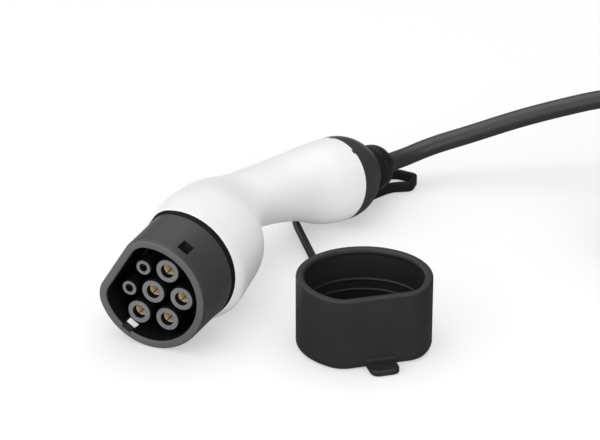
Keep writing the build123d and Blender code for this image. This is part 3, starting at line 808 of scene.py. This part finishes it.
def noseShape():
    """Rows from the cavity's mouth over the rim, back along the outside, over the spigot,
    and forward again inside. Each row is a D outline at its distance behind the rim."""
    n = nose
    a = quarterTurn(6)
    rows = []

    def add(back, radius, flat, corner):
        back, radius, flat, corner = np.broadcast_arrays(
            *(np.atleast_1d(np.asarray(v, float)) for v in (back, radius, flat, corner))
        )
        rows.append(np.column_stack([back, radius, flat, corner]))

    m = n["mouthRound"]
    grow = m * (1 - np.sin(a))[::-1]
    add(m * (1 - np.cos(a))[::-1], *(size + grow for size in n["cavity"]))
    # the rim's flat face, its wide rounded edge, the fine line, and the side up to the seal
    r, line = n["rimRound"], n["lineBack"]
    out = np.concatenate([[-r], np.sin(a) ** 0.8])
    turned = np.concatenate([[0.0], n["edgeBack"] * (1 - np.cos(a))])
    rise = n["edgeRadius"] - n["rimRadius"]
    out[1:] = out[1:] * rise
    add(
        turned,
        n["rimRadius"] + out,
        n["rimFlat"] + out * (n["edgeFlat"] - n["rimFlat"]) / rise,
        n["corner"],
    )
    back = np.concatenate(
        [
            [line - 0.25, line - 0.1, line + 0.1, line + 0.25],
            np.linspace(4, n["length"] - 1.2, 12),
            n["length"] - 0.5 * (1 - np.sin(a)),
        ]
    )
    inset = np.concatenate([[0, 1, 1, 0], np.zeros(12), 0.5 * (1 - np.cos(a))])
    inset[:4] *= n["lineDepth"]
    share = (back - n["edgeBack"]) / (n["length"] - n["edgeBack"])
    add(
        back,
        n["edgeRadius"] + share * (n["rearRadius"] - n["edgeRadius"]) - inset,
        n["edgeFlat"] + share * (n["rearFlat"] - n["edgeFlat"]) - inset,
        n["corner"] - inset,
    )
    end = n["length"] + n["spigotLength"]
    bevel = np.array([0, 0, 0.5])
    add([n["length"], end - 0.5, end], *(size - bevel for size in n["spigot"]))
    add([end, n["cavityDepth"]], *(size + n["shoulder"] for size in n["cavity"]))
    add(np.linspace(n["cavityDepth"], 1.5, 10), *n["cavity"])
    rows = np.vstack(rows)
    x, y = outlineD(rows[:, 1], rows[:, 2], rows[:, 3])
    return put(noseSeat, x, y, rows[:, 0][:, None] + 0 * x)


def lockTools(side):
    """The window with its ramp, and the groove that leads to it."""
    n = nose
    wall, outside = n["cavity"][0], n["edgeRadius"]
    rearEdge = n["lockFront"] + n["lockLength"]
    rampEnd = rearEdge + n["lockRamp"]
    x = side * np.array([wall - 2, wall - 2, wall, outside - 0.3, outside + 4, outside + 4])
    back = np.array([n["lockFront"], rearEdge, rearEdge, rampEnd, rampEnd, n["lockFront"]])
    half = n["lockWidth"] / 2
    window = prism("window", put(noseSeat, x, -half, back), put(noseSeat, x, half, back))
    reach = sorted((side * (wall - 3), side * (wall + n["grooveDepth"])))
    half = n["grooveWidth"] / 2
    # on the right side the groove starts behind the rim's edge
    start = 1.3 if side > 0 else -1
    return [window, brick("groove", noseSeat, reach, (-half, half), (start, rearEdge - 0.2))]


noseShell = skin("noseShell", noseShape())
carve(noseShell, lockTools(1) + lockTools(-1))
half = nose["snapWidth"] / 2
depth = (nose["snapBack"] - nose["snapLength"] / 2, nose["snapBack"] + nose["snapLength"] / 2)
snaps = [
    brick("snap", noseSeat, (-half, half), reach, depth)
    for reach in ((-34.4, -27.5), (21.2, 28.7))
]
carve(noseShell, snaps, "UNION")
joinPiece(noseShell, "plug", "nose_plastic", "nose_shell")

# painted shade: the cavity's walls and the lock windows get a near-black matt finish; painted
# highlight: the rim's front face is lighter
across, upward, back = inSeat(faceMiddles(noseShell), noseSeat)
reach = nose["shoulder"] + 0.1
inside = np.hypot(across, upward) < nose["cavity"][0] + reach
inside &= (upward < nose["cavity"][1] + reach) & (back > nose["mouthRound"])
windowEnd = nose["lockFront"] + nose["lockLength"] + nose["lockRamp"]
window = (np.abs(upward) < nose["lockWidth"] / 2 + 0.05) & (np.abs(across) > 24)
window &= (back > nose["lockFront"] - 0.05) & (back < windowEnd)
window &= np.hypot(across, upward) < nose["edgeRadius"] - 0.1
# painted shade on the cavity's walls and the lock windows
finishFaces(noseShell, "noseInside", inside | window)
# painted highlight on the rim's front face
rim = (back < 0.4) & (faceFronts(noseShell, noseSeat["front"]) > 0.7) & ~inside
finishFaces(noseShell, "noseRim", rim)

# rubber seal between nose and housing: it swells from the nose's size to the housing's
seal = {
    "front": 32.45,
    "back": 35.95,
    "rearRadius": 32.42,
    "rearFlat": 26.8,
    "round": 0.45,
    "inner": (28.45, 22.05, 11.9),
}
sealShare = np.array([0.0, 0.1, 0.35, 0.6, 0.8, 0.9, 0.96, 1.0])
sealInset = seal["round"] * np.array([1.6, 0.9, 0.9, 0.55, 0.1, 0.0, 0.25, 1.0])
sealSwell = sealShare**2
sealRows = np.vstack(
    [
        np.column_stack(
            [
                seal["front"] + sealShare * (seal["back"] - seal["front"]),
                *(
                    nose[key] + sealSwell * (seal.get(key, nose[key]) - nose[key]) - sealInset
                    for key in ("rearRadius", "rearFlat", "corner")
                ),
            ]
        ),
        [(seal["back"], *seal["inner"]), (seal["front"], *seal["inner"])],
    ]
)
sealX, sealY = outlineD(sealRows[:, 1], sealRows[:, 2], sealRows[:, 3])
noseSeal = skin("noseSeal", put(noseSeat, sealX, sealY, sealRows[:, :1] + 0 * sealX))
joinPiece(noseSeal, "plug", "seal_rubber", "nose_seal")

# contact carrier and contacts
contactCarrier = welded("contactCarrier", "contact_carrier")
joinPiece(contactCarrier, "plug", "carrier_plastic", "contact_carrier")
# painted shade: all but the towers' front faces are near black, where the cavity is in shade
finishFaces(contactCarrier, "noseInside", faceFronts(contactCarrier, noseSeat["front"]) < 0.9)
for nodeName in sorted(nodes):
    if nodeSlot[nodeName] in ("contact_brass", "contact_silver"):
        copy = welded(nodeName.replace("contact_", "socket_"), nodeName)
        joinPiece(copy, "plug", nodeSlot[nodeName], nodeName)
print("nose ready")

# ---------- housing ----------
housing = {
    "wall": 2.8,
    "frontRound": 0.7,
    "endRound": 0.25,
    "gripEndRadius": 24.7,
    "snapWidth": 5.4,
    "snapLength": 2.6,
    "keyAngles": (-1.6, 39.0, 181.6, 141.0),
    "keyWidth": 2.9,
    "keyLength": 1.45,
    # behind the front, tilt, half width, top, bottom, how flat the top is
    "head": [
        (0, 0, 32.42, 26.8, 32.42, 1.0),
        (4.5, 0, 32.0, 27.9, 35.3, 0.97),
        (11, 0, 31.5, 29.3, 35.3, 0.9),
        (18, 0, 31.0, 30.1, 34.3, 0.8),
        (25, 0, 30.3, 30.2, 33.4, 0.7),
        (40, 0, 28.0, 29.9, 30.7, 0.5),
        (55, 6, 21.8, 28.1, 24.0, 0.3),
        (67, 12, 17.3, 24.6, 18.1, 0.15),
        (74.5, 16, 16.0, 22.0, 16.0, 0.05),
    ],
    # before the end of the grip, half width, top, bottom
    "grip": [
        (74, 16.1, 21.0, 14.1),
        (61, 16.7, 21.8, 13.5),
        (47, 17.9, 22.6, 14.4),
        (36, 19.4, 23.4, 16.0),
        (29, 20.6, 23.7, 18.0),
        (21, 22.4, 24.2, 21.6),
        (15, 23.5, 24.4, 23.3),
        (10, 24.1, 24.6, 24.1),
        (5, 24.5, 24.7, 24.6),
        (0, 24.7, 24.7, 24.7),
    ],
    "roundPulls": (0.414, 0.776, 0.776, 0.414),
    "flatPulls": (0.700, 0.579, 1.065, 0.638),
}


def housingTable():
    """For each section: place along the handle, origin, up direction, half width, top,
    bottom and flatness. The head's sections turn with the knee."""
    rows = []
    knee = seats["housingFront"] + seats["headLength"]
    for back, tilt, half, top, bottom, flat in housing["head"]:
        place = seats["housingFront"] + back
        t = math.radians(tilt)
        up = noseSeat["y"] * math.cos(t) - noseSeat["front"] * math.sin(t)
        rows.append([place, *put(noseSeat, 0, 0, place), *up, half, top, bottom, flat])
    for ahead, half, top, bottom in housing["grip"]:
        place = knee + seats["gripLength"] - ahead
        rows.append([place, *put(gripSeat, 0, 0, -ahead), *gripSeat["y"], half, top, bottom, 0])
    return np.array(rows)


housingRows = housingTable()


def housingPoints(places, insets, perQuarter=26):
    """Points of the housing's skin: the sections' sizes follow smooth curves along the
    handle, and each quarter of a section is a Bezier curve of the fourth order whose pulls
    go from round to flat-topped."""
    values = naturalCurve(housingRows[:, 0], housingRows[:, 1:], places)
    origin, up = values[:, :3], values[:, 3:6]
    up = up / np.linalg.norm(up, axis=1)[:, None]
    half, top, bottom = (values[:, i] - insets for i in (6, 7, 8))
    flat = np.clip(values[:, 9], 0, 1)[:, None]
    roundPulls, flatPulls = (np.array(housing[k]) for k in ("roundPulls", "flatPulls"))
    upper = roundPulls + flat * (flatPulls - roundPulls)
    lower = np.broadcast_to(roundPulls, upper.shape)
    t = np.linspace(0, 1, perQuarter, endpoint=False)

    def quarter(pulls, s):
        side, bendX, bendY, brow = (pulls[:, i][:, None] for i in range(4))
        w = [math.comb(4, k) * (1 - s) ** (4 - k) * s**k for k in range(5)]
        x = w[0] + w[1] + w[2] * bendX + w[3] * brow
        y = w[1] * side + w[2] * bendY + w[3] + w[4]
        return x, y

    upX, upY = quarter(upper, t)
    upX2, upY2 = quarter(upper, 1 - t)
    lowX, lowY = quarter(lower, t)
    lowX2, lowY2 = quarter(lower, 1 - t)
    h, a, b = half[:, None], top[:, None], bottom[:, None]
    x = np.hstack([upX * h, -upX2 * h, -lowX * h, lowX2 * h])
    y = np.hstack([upY * a, upY2 * a, -lowY * b, -lowY2 * b])
    across = gripSeat["x"]
    return origin[:, None] + x[..., None] * across + y[..., None] * up[:, None]


def housingShape():
    """Outside from front to end, the end's lip, inside from end to front, the front's lip."""
    first, last = housingRows[0, 0], housingRows[-1, 0]
    r, e, wall = housing["frontRound"], housing["endRound"], housing["wall"]
    a = quarterTurn(6)
    places = [
        first + r * (1 - np.sin(a))[::-1],
        np.linspace(first + 1.5, last - 1, 130),
        last - e * (1 - np.sin(a)),
        [last, last - 0.3],
        np.linspace(last - 1, first + 1, 60),
        [first + 0.3, first],
    ]
    insets = [
        r * (1 - np.cos(a))[::-1],
        np.zeros(130),
        e * (1 - np.cos(a)),
        [wall - 0.3, wall],
        np.full(60, wall),
        [wall, wall - 0.3],
    ]
    return housingPoints(np.concatenate(places), np.concatenate(insets))


handleHousing = skin("handleHousing", housingShape())
slotX, slotBack, snapAt = housing["snapWidth"] / 2, housing["snapLength"] / 2, nose["snapBack"]
cutters = [
    brick("snapSlot", noseSeat, (-slotX, slotX), (-60, 60), (snapAt - slotBack, snapAt + slotBack))
]


def turnedSeat(seat, degreesRound):
    """The same seat with its x turned towards its y."""
    a = math.radians(degreesRound)
    x = seat["x"] * math.cos(a) + seat["y"] * math.sin(a)
    return seatOf(seat["origin"], seat["front"], x)


for angle in housing["keyAngles"]:
    cutters.append(
        brick(
            "keySlot",
            turnedSeat(gripSeat, angle),
            (20.9, 28.5),
            (-housing["keyWidth"] / 2, housing["keyWidth"] / 2),
            (-housing["keyLength"], 1),
        )
    )
carve(handleHousing, cutters)
joinPiece(handleHousing, "plug", "housing_plastic", "handle_housing")
# painted shade: the snap slot's faces get the near-black seal rubber, for the shade inside the
# slot
across, upward, back = inSeat(faceMiddles(handleHousing), noseSeat)
slot = np.abs(across) < slotX + 0.05
slot &= np.abs(back - snapAt) < slotBack + 0.05
finishFaces(handleHousing, "sealRubber", slot)
print("housing ready")

# ---------- end collar, tether ring, gland ----------
collar = {
    "rise": 4.0,
    "length": 25.8,
    "endRadius": 16.2,
    "skirtRadius": 21.0,
    "skirtBore": 18.6,
    "skirtLength": 8.0,
    "neckRadius": 12.4,
    "neckEnd": 30.9,
    "threadRadius": 10.6,
    "threadLength": 10.0,
    "tunnel": 8.0,
}


def collarProfile():
    c = collar
    end = housing["gripEndRadius"]
    pulls = [(end - 0.3, c["rise"] + 11), (18.8, 20.8)]
    dome = bezier([(end, c["rise"]), *pulls, (c["endRadius"], c["length"])], 28)
    edge = [(c["endRadius"] - 0.05, c["length"] - 0.1), (c["endRadius"] - 0.24, c["length"])]
    inner = [
        (c["neckRadius"], c["length"]),
        (c["neckRadius"], c["neckEnd"]),
        (c["threadRadius"], c["neckEnd"]),
        (c["threadRadius"], c["neckEnd"] + c["threadLength"]),
        (c["tunnel"], c["neckEnd"] + c["threadLength"]),
        (c["tunnel"], c["length"] - 3),
        (c["skirtBore"], c["rise"]),
        (c["skirtBore"], -c["skirtLength"]),
        (c["skirtRadius"], -c["skirtLength"]),
        (c["skirtRadius"], 0.15),
    ]
    lip = [(end - 0.25, 0.15), (end, 0.4), (end, 2.0)]
    return np.vstack([dome[:-1], edge, inner, lip])


endCollar = skin("endCollar", turnedRows(collarProfile(), gripSeat, 144))
keys = [
    brick(
        "key",
        turnedSeat(gripSeat, angle),
        (20.4, housing["gripEndRadius"] - 0.1),
        (-1.3, 1.3),
        (-1.3, 0.5),
    )
    for angle in housing["keyAngles"]
]
carve(endCollar, keys, "UNION")
joinPiece(endCollar, "plug", "collar_plastic", "end_collar")

ring = {
    "front": 25.95,
    "width": 4.8,
    "bore": 12.48,
    "radius": 15.1,
    "grooveDepth": 1.0,
    "keeperWall": 1.6,
    "keeperReach": 20.5,
    "strapGap": 1.45,  # from the strap's middle to a cheek
}
ringSeat = dict(gripSeat, origin=put(gripSeat, 0, 0, ring["front"]))
w, g = ring["width"], ring["grooveDepth"]
ringCorners = [
    (ring["bore"], 0),
    (ring["radius"], 0),
    (ring["radius"], w / 2 - 0.55),
    (ring["radius"] - g, w / 2 - 0.25),
    (ring["radius"] - g, w / 2 + 0.25),
    (ring["radius"], w / 2 + 0.55),
    (ring["radius"], w),
    (ring["bore"], w),
]
ringRounding = [0.1, 0.9, 0.35, 0.15, 0.15, 0.35, 0.9, 0.1]
tetherRing = skin(
    "tetherRing", turnedRows(roundedProfile(ringCorners, ringRounding), ringSeat, 120)
)
underAngle = math.degrees(math.atan2(-gripSeat["y"][2], -gripSeat["x"][2]))
underSeat = turnedSeat(ringSeat, underAngle)
cheeks = [
    brick(
        "cheek",
        underSeat,
        (ring["bore"] + 0.9, ring["keeperReach"]),
        sorted((side * ring["strapGap"], side * (ring["strapGap"] + ring["keeperWall"]))),
        (0, w),
    )
    for side in (1, -1)
]
carve(tetherRing, cheeks, "UNION")
joinPiece(tetherRing, "tether_ring", "tether_rubber", "tether_ring")

nut = {
    "front": 31.05,
    "radius": 13.9,
    "length": 14.6,
    "straight": 5.4,
    "mouth": 8.4,
    "bore": 5.8,
    "threadBore": 10.75,
    "threadLength": 10.3,
    "grooveAt": 2.6,
    "grooveDepth": 0.7,
}
nutSeat = dict(gripSeat, origin=put(gripSeat, 0, 0, nut["front"]))


def nutProfile():
    """Front edge, a groove, the straight part, the dome, and the stepped bore."""
    n = nut
    r, at, g = n["radius"], n["grooveAt"], n["grooveDepth"]
    outside = roundedProfile(
        [
            (n["threadBore"], 0),
            (r, 0),
            (r, at - 0.45),
            (r - g, at - 0.2),
            (r - g, at + 0.2),
            (r, at + 0.45),
            (r, n["straight"]),
        ],
        [0, 0.9, 0.3, 0.12, 0.12, 0.3, 0],
    )[6:-6]
    end, mouth = n["length"], n["mouth"]
    dome = bezier([(r, n["straight"]), (r, end - 3), (mouth + 2.4, end), (mouth, end)], 24)
    bore = [
        (n["bore"] + 0.6, n["length"] - 0.05),
        (n["bore"], n["length"] - 0.6),
        (n["bore"], n["threadLength"]),
        (n["threadBore"], n["threadLength"]),
        (n["threadBore"], 0.4),
        (n["threadBore"] + 0.4, 0),
    ]
    return np.vstack([outside, dome, bore])


glandNut = skin("glandNut", turnedRows(nutProfile(), nutSeat, 120))
joinPiece(glandNut, "plug", "nut_plastic", "gland_nut")
print("collar, ring and gland ready")

# ---------- dust cap ----------
cap = {
    "centre": (98.5, 53.6),
    "turn": -139.7,
    "radius": 35.95,
    "flat": 29.1,
    "corner": 14.2,
    "height": 39.3,
    "wall": 3.8,
    "floor": 3.4,
    "edge": 2.4,
    "rimRound": 1.0,
    "lipDepth": 0.8,
    "lipHeight": 3.0,
    "mouthRound": 1.7,
    "ribs": (14.7, 20.7),
    "ribHeight": 1.2,
    "ribDepth": 0.7,
    "tabWidth": 15.5,
    "tabReach": 11.5,
    "tabCorner": 5.0,
    "tabThickness": 3.2,
    "ledgeWidth": 17.5,
    "ledgeHeight": 4.9,
    "ledgeOut": 0.7,
    "bossWidth": 8.0,
    "bossDepth": 9.0,
    "bossHeight": 8.6,
}
capTurn = math.radians(cap["turn"])
capSeat = {
    "origin": planStart + np.array([*cap["centre"], 0.0]),
    "x": np.array([math.cos(capTurn), math.sin(capTurn), 0.0]),
    "y": np.array([-math.sin(capTurn), math.cos(capTurn), 0.0]),
    "front": np.array([0.0, 0.0, 1.0]),
}


def capShape():
    """From the middle of the underside over the rounded edge, up the wall, over the rim,
    and down inside past two sealing ribs to the floor. Each row is a D outline, drawn in
    by the wall; near the middle it is the same outline made smaller."""
    c = cap
    a = quarterTurn(10)
    small = quarterTurn(6)
    e, r, m = c["edge"], c["rimRound"], c["mouthRound"]
    inset = [e * (1 - np.sin(a)), np.linspace(0, 0, 8)]
    height = [e * (1 - np.cos(a)), np.linspace(e + 1, c["height"] - r - 0.5, 8)]
    lip, under = c["wall"] + c["lipDepth"], c["height"] - c["lipHeight"]
    inset += [r * (1 - np.cos(small)), lip - m * (1 - np.sin(small))]
    height += [c["height"] - r * (1 - np.sin(small)), c["height"] - m * (1 - np.cos(small))]
    inset.append([lip, lip - 0.2, c["wall"]])
    height.append([under + 0.35, under, under - 0.45])
    for rib in reversed(c["ribs"]):
        bulge = np.sin(np.linspace(0, math.pi, 11)) ** 0.7
        top = rib + c["ribHeight"] + 0.35
        inset.append([c["wall"], *(c["wall"] + c["ribDepth"] * bulge), c["wall"]])
        height.append([top + 1.2, *np.linspace(top, rib - 0.35, 11), rib - 1.0])
    f = 2.0
    inset += [[c["wall"]], c["wall"] + f * (1 - np.cos(small))]
    height += [[c["floor"] + f + 1.5], c["floor"] + f * (1 - np.sin(small))]
    inset, height = np.concatenate(inset), np.concatenate(height)
    x, y = outlineD(c["radius"] - inset, c["flat"] - inset, c["corner"] - inset)
    z = np.broadcast_to(height[:, None], x.shape)
    shrink = np.array([0.35, 0.7, 0.9])[:, None]
    x = np.vstack([x[:1] * shrink, x, x[-1:] * shrink[::-1]])
    y = np.vstack([y[:1] * shrink, y, y[-1:] * shrink[::-1]])
    z = np.vstack([z[:1] * np.ones_like(shrink), z, z[-1:] * np.ones_like(shrink)])
    return put(capSeat, x, y, -z)


def slab(name, seat, middle, size, corner, low, high, edge):
    """A flat block with a rounded-rectangle outline and softened top and bottom edges."""
    a = quarterTurn(5)
    insets = np.concatenate([edge * (1 - np.sin(a)), edge * (1 - np.cos(a))])
    heights = np.concatenate([low + edge * (1 - np.cos(a)), high - edge * (1 - np.sin(a))])
    rows = []
    for inset, height in zip(insets, heights):
        hx, hy = size[0] / 2 - inset, size[1] / 2 - inset
        box = [(-hx, -hy), (hx, -hy), (hx, hy), (-hx, hy)]
        outline = roundedProfile(box, max(corner - inset, 0.1), 9)
        rows.append(put(seat, middle[0] + outline[:, 0], middle[1] + outline[:, 1], -height))
    poles = [put(seat, *middle, -low), put(seat, *middle, -high)]
    return skin(name, np.array(rows), poles)


dustCap = skin(
    "dustCap",
    capShape(),
    poles=[put(capSeat, 0, 0, 0), put(capSeat, 0, 0, -cap["floor"])],
)
rootY = cap["flat"] - 8.0
tabEnd = cap["flat"] + cap["tabReach"]
bossEnd = -cap["radius"] - cap["bossDepth"]
# name, low and high Y, width, corner, bottom, top, edge
capBlocks = [
    ("tab", rootY, tabEnd, cap["tabWidth"], cap["tabCorner"], 0.05, cap["tabThickness"], 0.7),
    (
        "ledge",
        cap["flat"] - 3.0,
        cap["flat"] + cap["ledgeOut"],
        cap["ledgeWidth"],
        0.6,
        1.2,
        cap["ledgeHeight"],
        0.3,
    ),
    ("boss", bossEnd, 2.0 - cap["radius"], cap["bossWidth"], 1.0, 0.02, cap["bossHeight"], 0.8),
]
joinTools = [
    slab(name, capSeat, (0, (low + high) / 2), (width, high - low), *rest)
    for name, low, high, width, *rest in capBlocks
]
carve(dustCap, joinTools, "UNION")
slotEnd = -cap["radius"] - 2.0
slotRoom = (slotEnd - 2 * cap["bossDepth"], slotEnd)
carve(dustCap, [brick("strapSlot", capSeat, (-1.45, 1.45), slotRoom, (-6.45, 1.0))])
joinPiece(dustCap, "plug", "cap_rubber", "dust_cap")
print("dust cap ready")

# ---------- tether strap ----------
strap = {
    "thickness": 2.6,
    "width": 6.2,
    "lift": 0.1,
    "corner": 0.7,
    "soft": 0.5,  # share of a run that a corner takes where the strap bends freely
}
strapPoints = [
    (36.2, 242.0),
    (46.5, 248.6),
    (44.8, 260.6),
    (32.5, 262.6),
    (19.0, 255.9),
    (5.0, 236.8),
    (-4.2, 215.1),
    (-5.6, 196.0),
    (1.2, 177.6),
    (14.1, 159.6),
    (27.6, 141.1),
    (45.5, 116.6),
]
strapRoute = np.vstack(
    [
        put(ringSeat, 0, 0, 1.0)[:2],
        put(ringSeat, 0, 0, 15.0)[:2],
        planStart[:2] + np.array(strapPoints),
        put(capSeat, 0, -cap["radius"] - 18.0, 0)[:2],
        put(capSeat, 0, -cap["radius"] - 2.3, 0)[:2],
    ]
)
# how sharply the strap turns at each point between its ends
strapTurns = np.array(
    [0.5, 0.3, 0.22, 0.22, 0.22, 0.4] + [strap["soft"]] * (len(strapRoute) - 8)
)


def strapLine(points, shares, steps=9):
    """Each corner becomes a curve between points on its two runs, at a share of the run."""
    before, here, after = points[:-2], points[1:-1], points[2:]
    share = shares[:, None]
    start, end = here + (before - here) * share, here + (after - here) * share
    line = np.vstack([points[:1], cornerCurves(start, here, end, steps), points[-1:]])
    keep = np.ones(len(line), bool)
    keep[1:] = np.linalg.norm(np.diff(line, axis=0), axis=1) > 0.02
    return line[keep]


def strapRows(line):
    """A rounded band on edge, square to the line at every point."""
    heading = np.gradient(line, axis=0)
    heading /= np.linalg.norm(heading, axis=1)[:, None]
    side = np.column_stack([-heading[:, 1], heading[:, 0]])
    half, tall = strap["thickness"] / 2, strap["width"] / 2
    box = [(-half, -tall), (half, -tall), (half, tall), (-half, tall)]
    section = roundedProfile(box, strap["corner"], 6)
    flat = line[:, None] + side[:, None] * section[:, 0][None, :, None]
    z = strap["lift"] + tall + np.broadcast_to(section[:, 1], flat.shape[:2])
    return np.concatenate([flat, z[..., None]], -1)


def strapPiece(name, line):
    rows = strapRows(line)
    return skin(name, rows, rows.mean(1)[[0, -1]], sharp=28)


wholeStrap = strapLine(strapRoute, strapTurns)
corner = planStart[:2] + np.array([45.65, 254.6])  # middle of the loop's outer run
cutAt = int(np.argmin(np.linalg.norm(wholeStrap - corner, axis=1)))
strapRoot = strapPiece("tetherRoot", wholeStrap[: cutAt + 1])
strapRest = strapPiece("tetherStrap", wholeStrap[cutAt:])
joinPiece(strapRest, "plug", "tether_rubber", "cap_tether")
strapRoot.data.materials.append(finish["tetherRubber"])
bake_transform(strapRoot)
print("tether ready")

# ---------- floor, backdrop and light ----------
studio = {
    "floorSize": 12.0,
    "floorColour": (0.86, 0.86, 0.87),
    "floorGlow": 0.45,  # share of the floor that only the camera sees as white
    "worldLight": 0.66,
    "glossyLow": 0.15,  # what glossy reflections see to the right and near the horizon
    "glossyHigh": 1.1,
    "glossyEdge": (-0.02, -0.12),  # where along X the floor turns bright, in m
    "skySide": (-0.5, -0.3, 0.81),  # where the sky is brightest
    "skyRise": (0.1, 0.8),
    # place, what it looks at, size, power
    "lights": {
        "overheadLight": ((-0.15, 0.25, 1.5), (0, 0, 0), 1.6, 11.0),
        "keyLight": ((-1.1, -0.9, 1.0), (-0.05, 0, 0.02), 0.9, 3.0),
        "frontLight": ((-0.15, -1.5, 0.6), (-0.03, -0.1, 0.03), 1.2, 9.0),
        "sideLight": ((1.25, -0.9, 0.35), (0, -0.02, 0.02), 1.0, 9.0),
    },
}
for lightName, (place, target, size, power) in studio["lights"].items():
    light = bpy.data.lights.new(lightName, "AREA")
    light.shape = "SQUARE"
    light.size = size
    light.energy = power
    lamp = looseObject(lightName, light)
    lamp.location = place
    aim = Vector(target) - Vector(place)
    lamp.rotation_euler = aim.to_track_quat("-Z", "Y").to_euler()

floorMesh = bpy.data.meshes.new("floor")
s = studio["floorSize"] / 2
corners = [(-s, -s, -0.0002), (s, -s, -0.0002), (s, s, -0.0002), (-s, s, -0.0002)]
floorMesh.from_pydata(corners, [], [(0, 1, 2, 3)])
floorObject = looseObject("floor", floorMesh)


def clearedTree(owner):
    owner.use_nodes = True
    owner.node_tree.nodes.clear()
    return owner.node_tree


def mixed(tree, share, first, second):
    """A blend of two shaders, by a share."""
    return nodeOf(tree, "MixShader", {"Fac": share, 1: first, 2: second}).outputs["Shader"]


def glossyLight(tree, along, start, end):
    """What glossy reflections see: brighter along a direction, from its start to its end."""
    ramp = {"From Min": start, "From Max": end, "Value": along}
    ramp |= {"To Min": studio["glossyLow"], "To Max": studio["glossyHigh"]}
    return nodeOf(tree, "MapRange", ramp).outputs["Result"]


# a floor that the camera sees nearly white; glossy reflections see it bright at the left
floorMaterial = bpy.data.materials.new("floor")
tree = clearedTree(floorMaterial)
ray = nodeOf(tree, "LightPath").outputs
share = nodeOf(
    tree, "Math", {0: ray["Is Camera Ray"], 1: studio["floorGlow"]}, operation="MULTIPLY"
)
diffuse = nodeOf(tree, "BsdfDiffuse", {"Color": (*studio["floorColour"], 1)})
glow = nodeOf(tree, "Emission", {"Color": (1, 1, 1, 1)})
seen = mixed(tree, share.outputs["Value"], diffuse.outputs["BSDF"], glow.outputs["Emission"])
spot = nodeOf(tree, "NewGeometry").outputs["Position"]
leftwards = nodeOf(tree, "SeparateXYZ", {"Vector": spot}).outputs["X"]
dim = nodeOf(tree, "Emission", {"Strength": glossyLight(tree, leftwards, *studio["glossyEdge"])})
surface = mixed(tree, ray["Is Glossy Ray"], seen, dim.outputs["Emission"])
nodeOf(tree, "OutputMaterial", {"Surface": surface})
floorMesh.materials.append(floorMaterial)

# a white backdrop for the camera, soft light, and a sky that brightens towards the lights
world = bpy.data.worlds.new("studio")
bpy.context.scene.world = world
tree = clearedTree(world)
ray = nodeOf(tree, "LightPath").outputs
white = (1, 1, 1, 1)
fill = nodeOf(tree, "Background", {"Color": white, "Strength": studio["worldLight"]})
backdrop = nodeOf(tree, "Background", {"Color": white, "Strength": 1.0})
heading = nodeOf(tree, "TexCoord").outputs["Generated"]
towards = nodeOf(
    tree, "VectorMath", {0: heading, 1: studio["skySide"]}, operation="DOT_PRODUCT"
)
climb = glossyLight(tree, towards.outputs["Value"], *studio["skyRise"])
sky = nodeOf(tree, "Background", {"Strength": climb})
lit = mixed(tree, ray["Is Glossy Ray"], fill.outputs["Background"], sky.outputs["Background"])
surface = mixed(tree, ray["Is Camera Ray"], lit, backdrop.outputs["Background"])
nodeOf(tree, "OutputWorld", {"Surface": surface})
bpy.context.scene.view_settings.view_transform = "Standard"
print("studio ready")
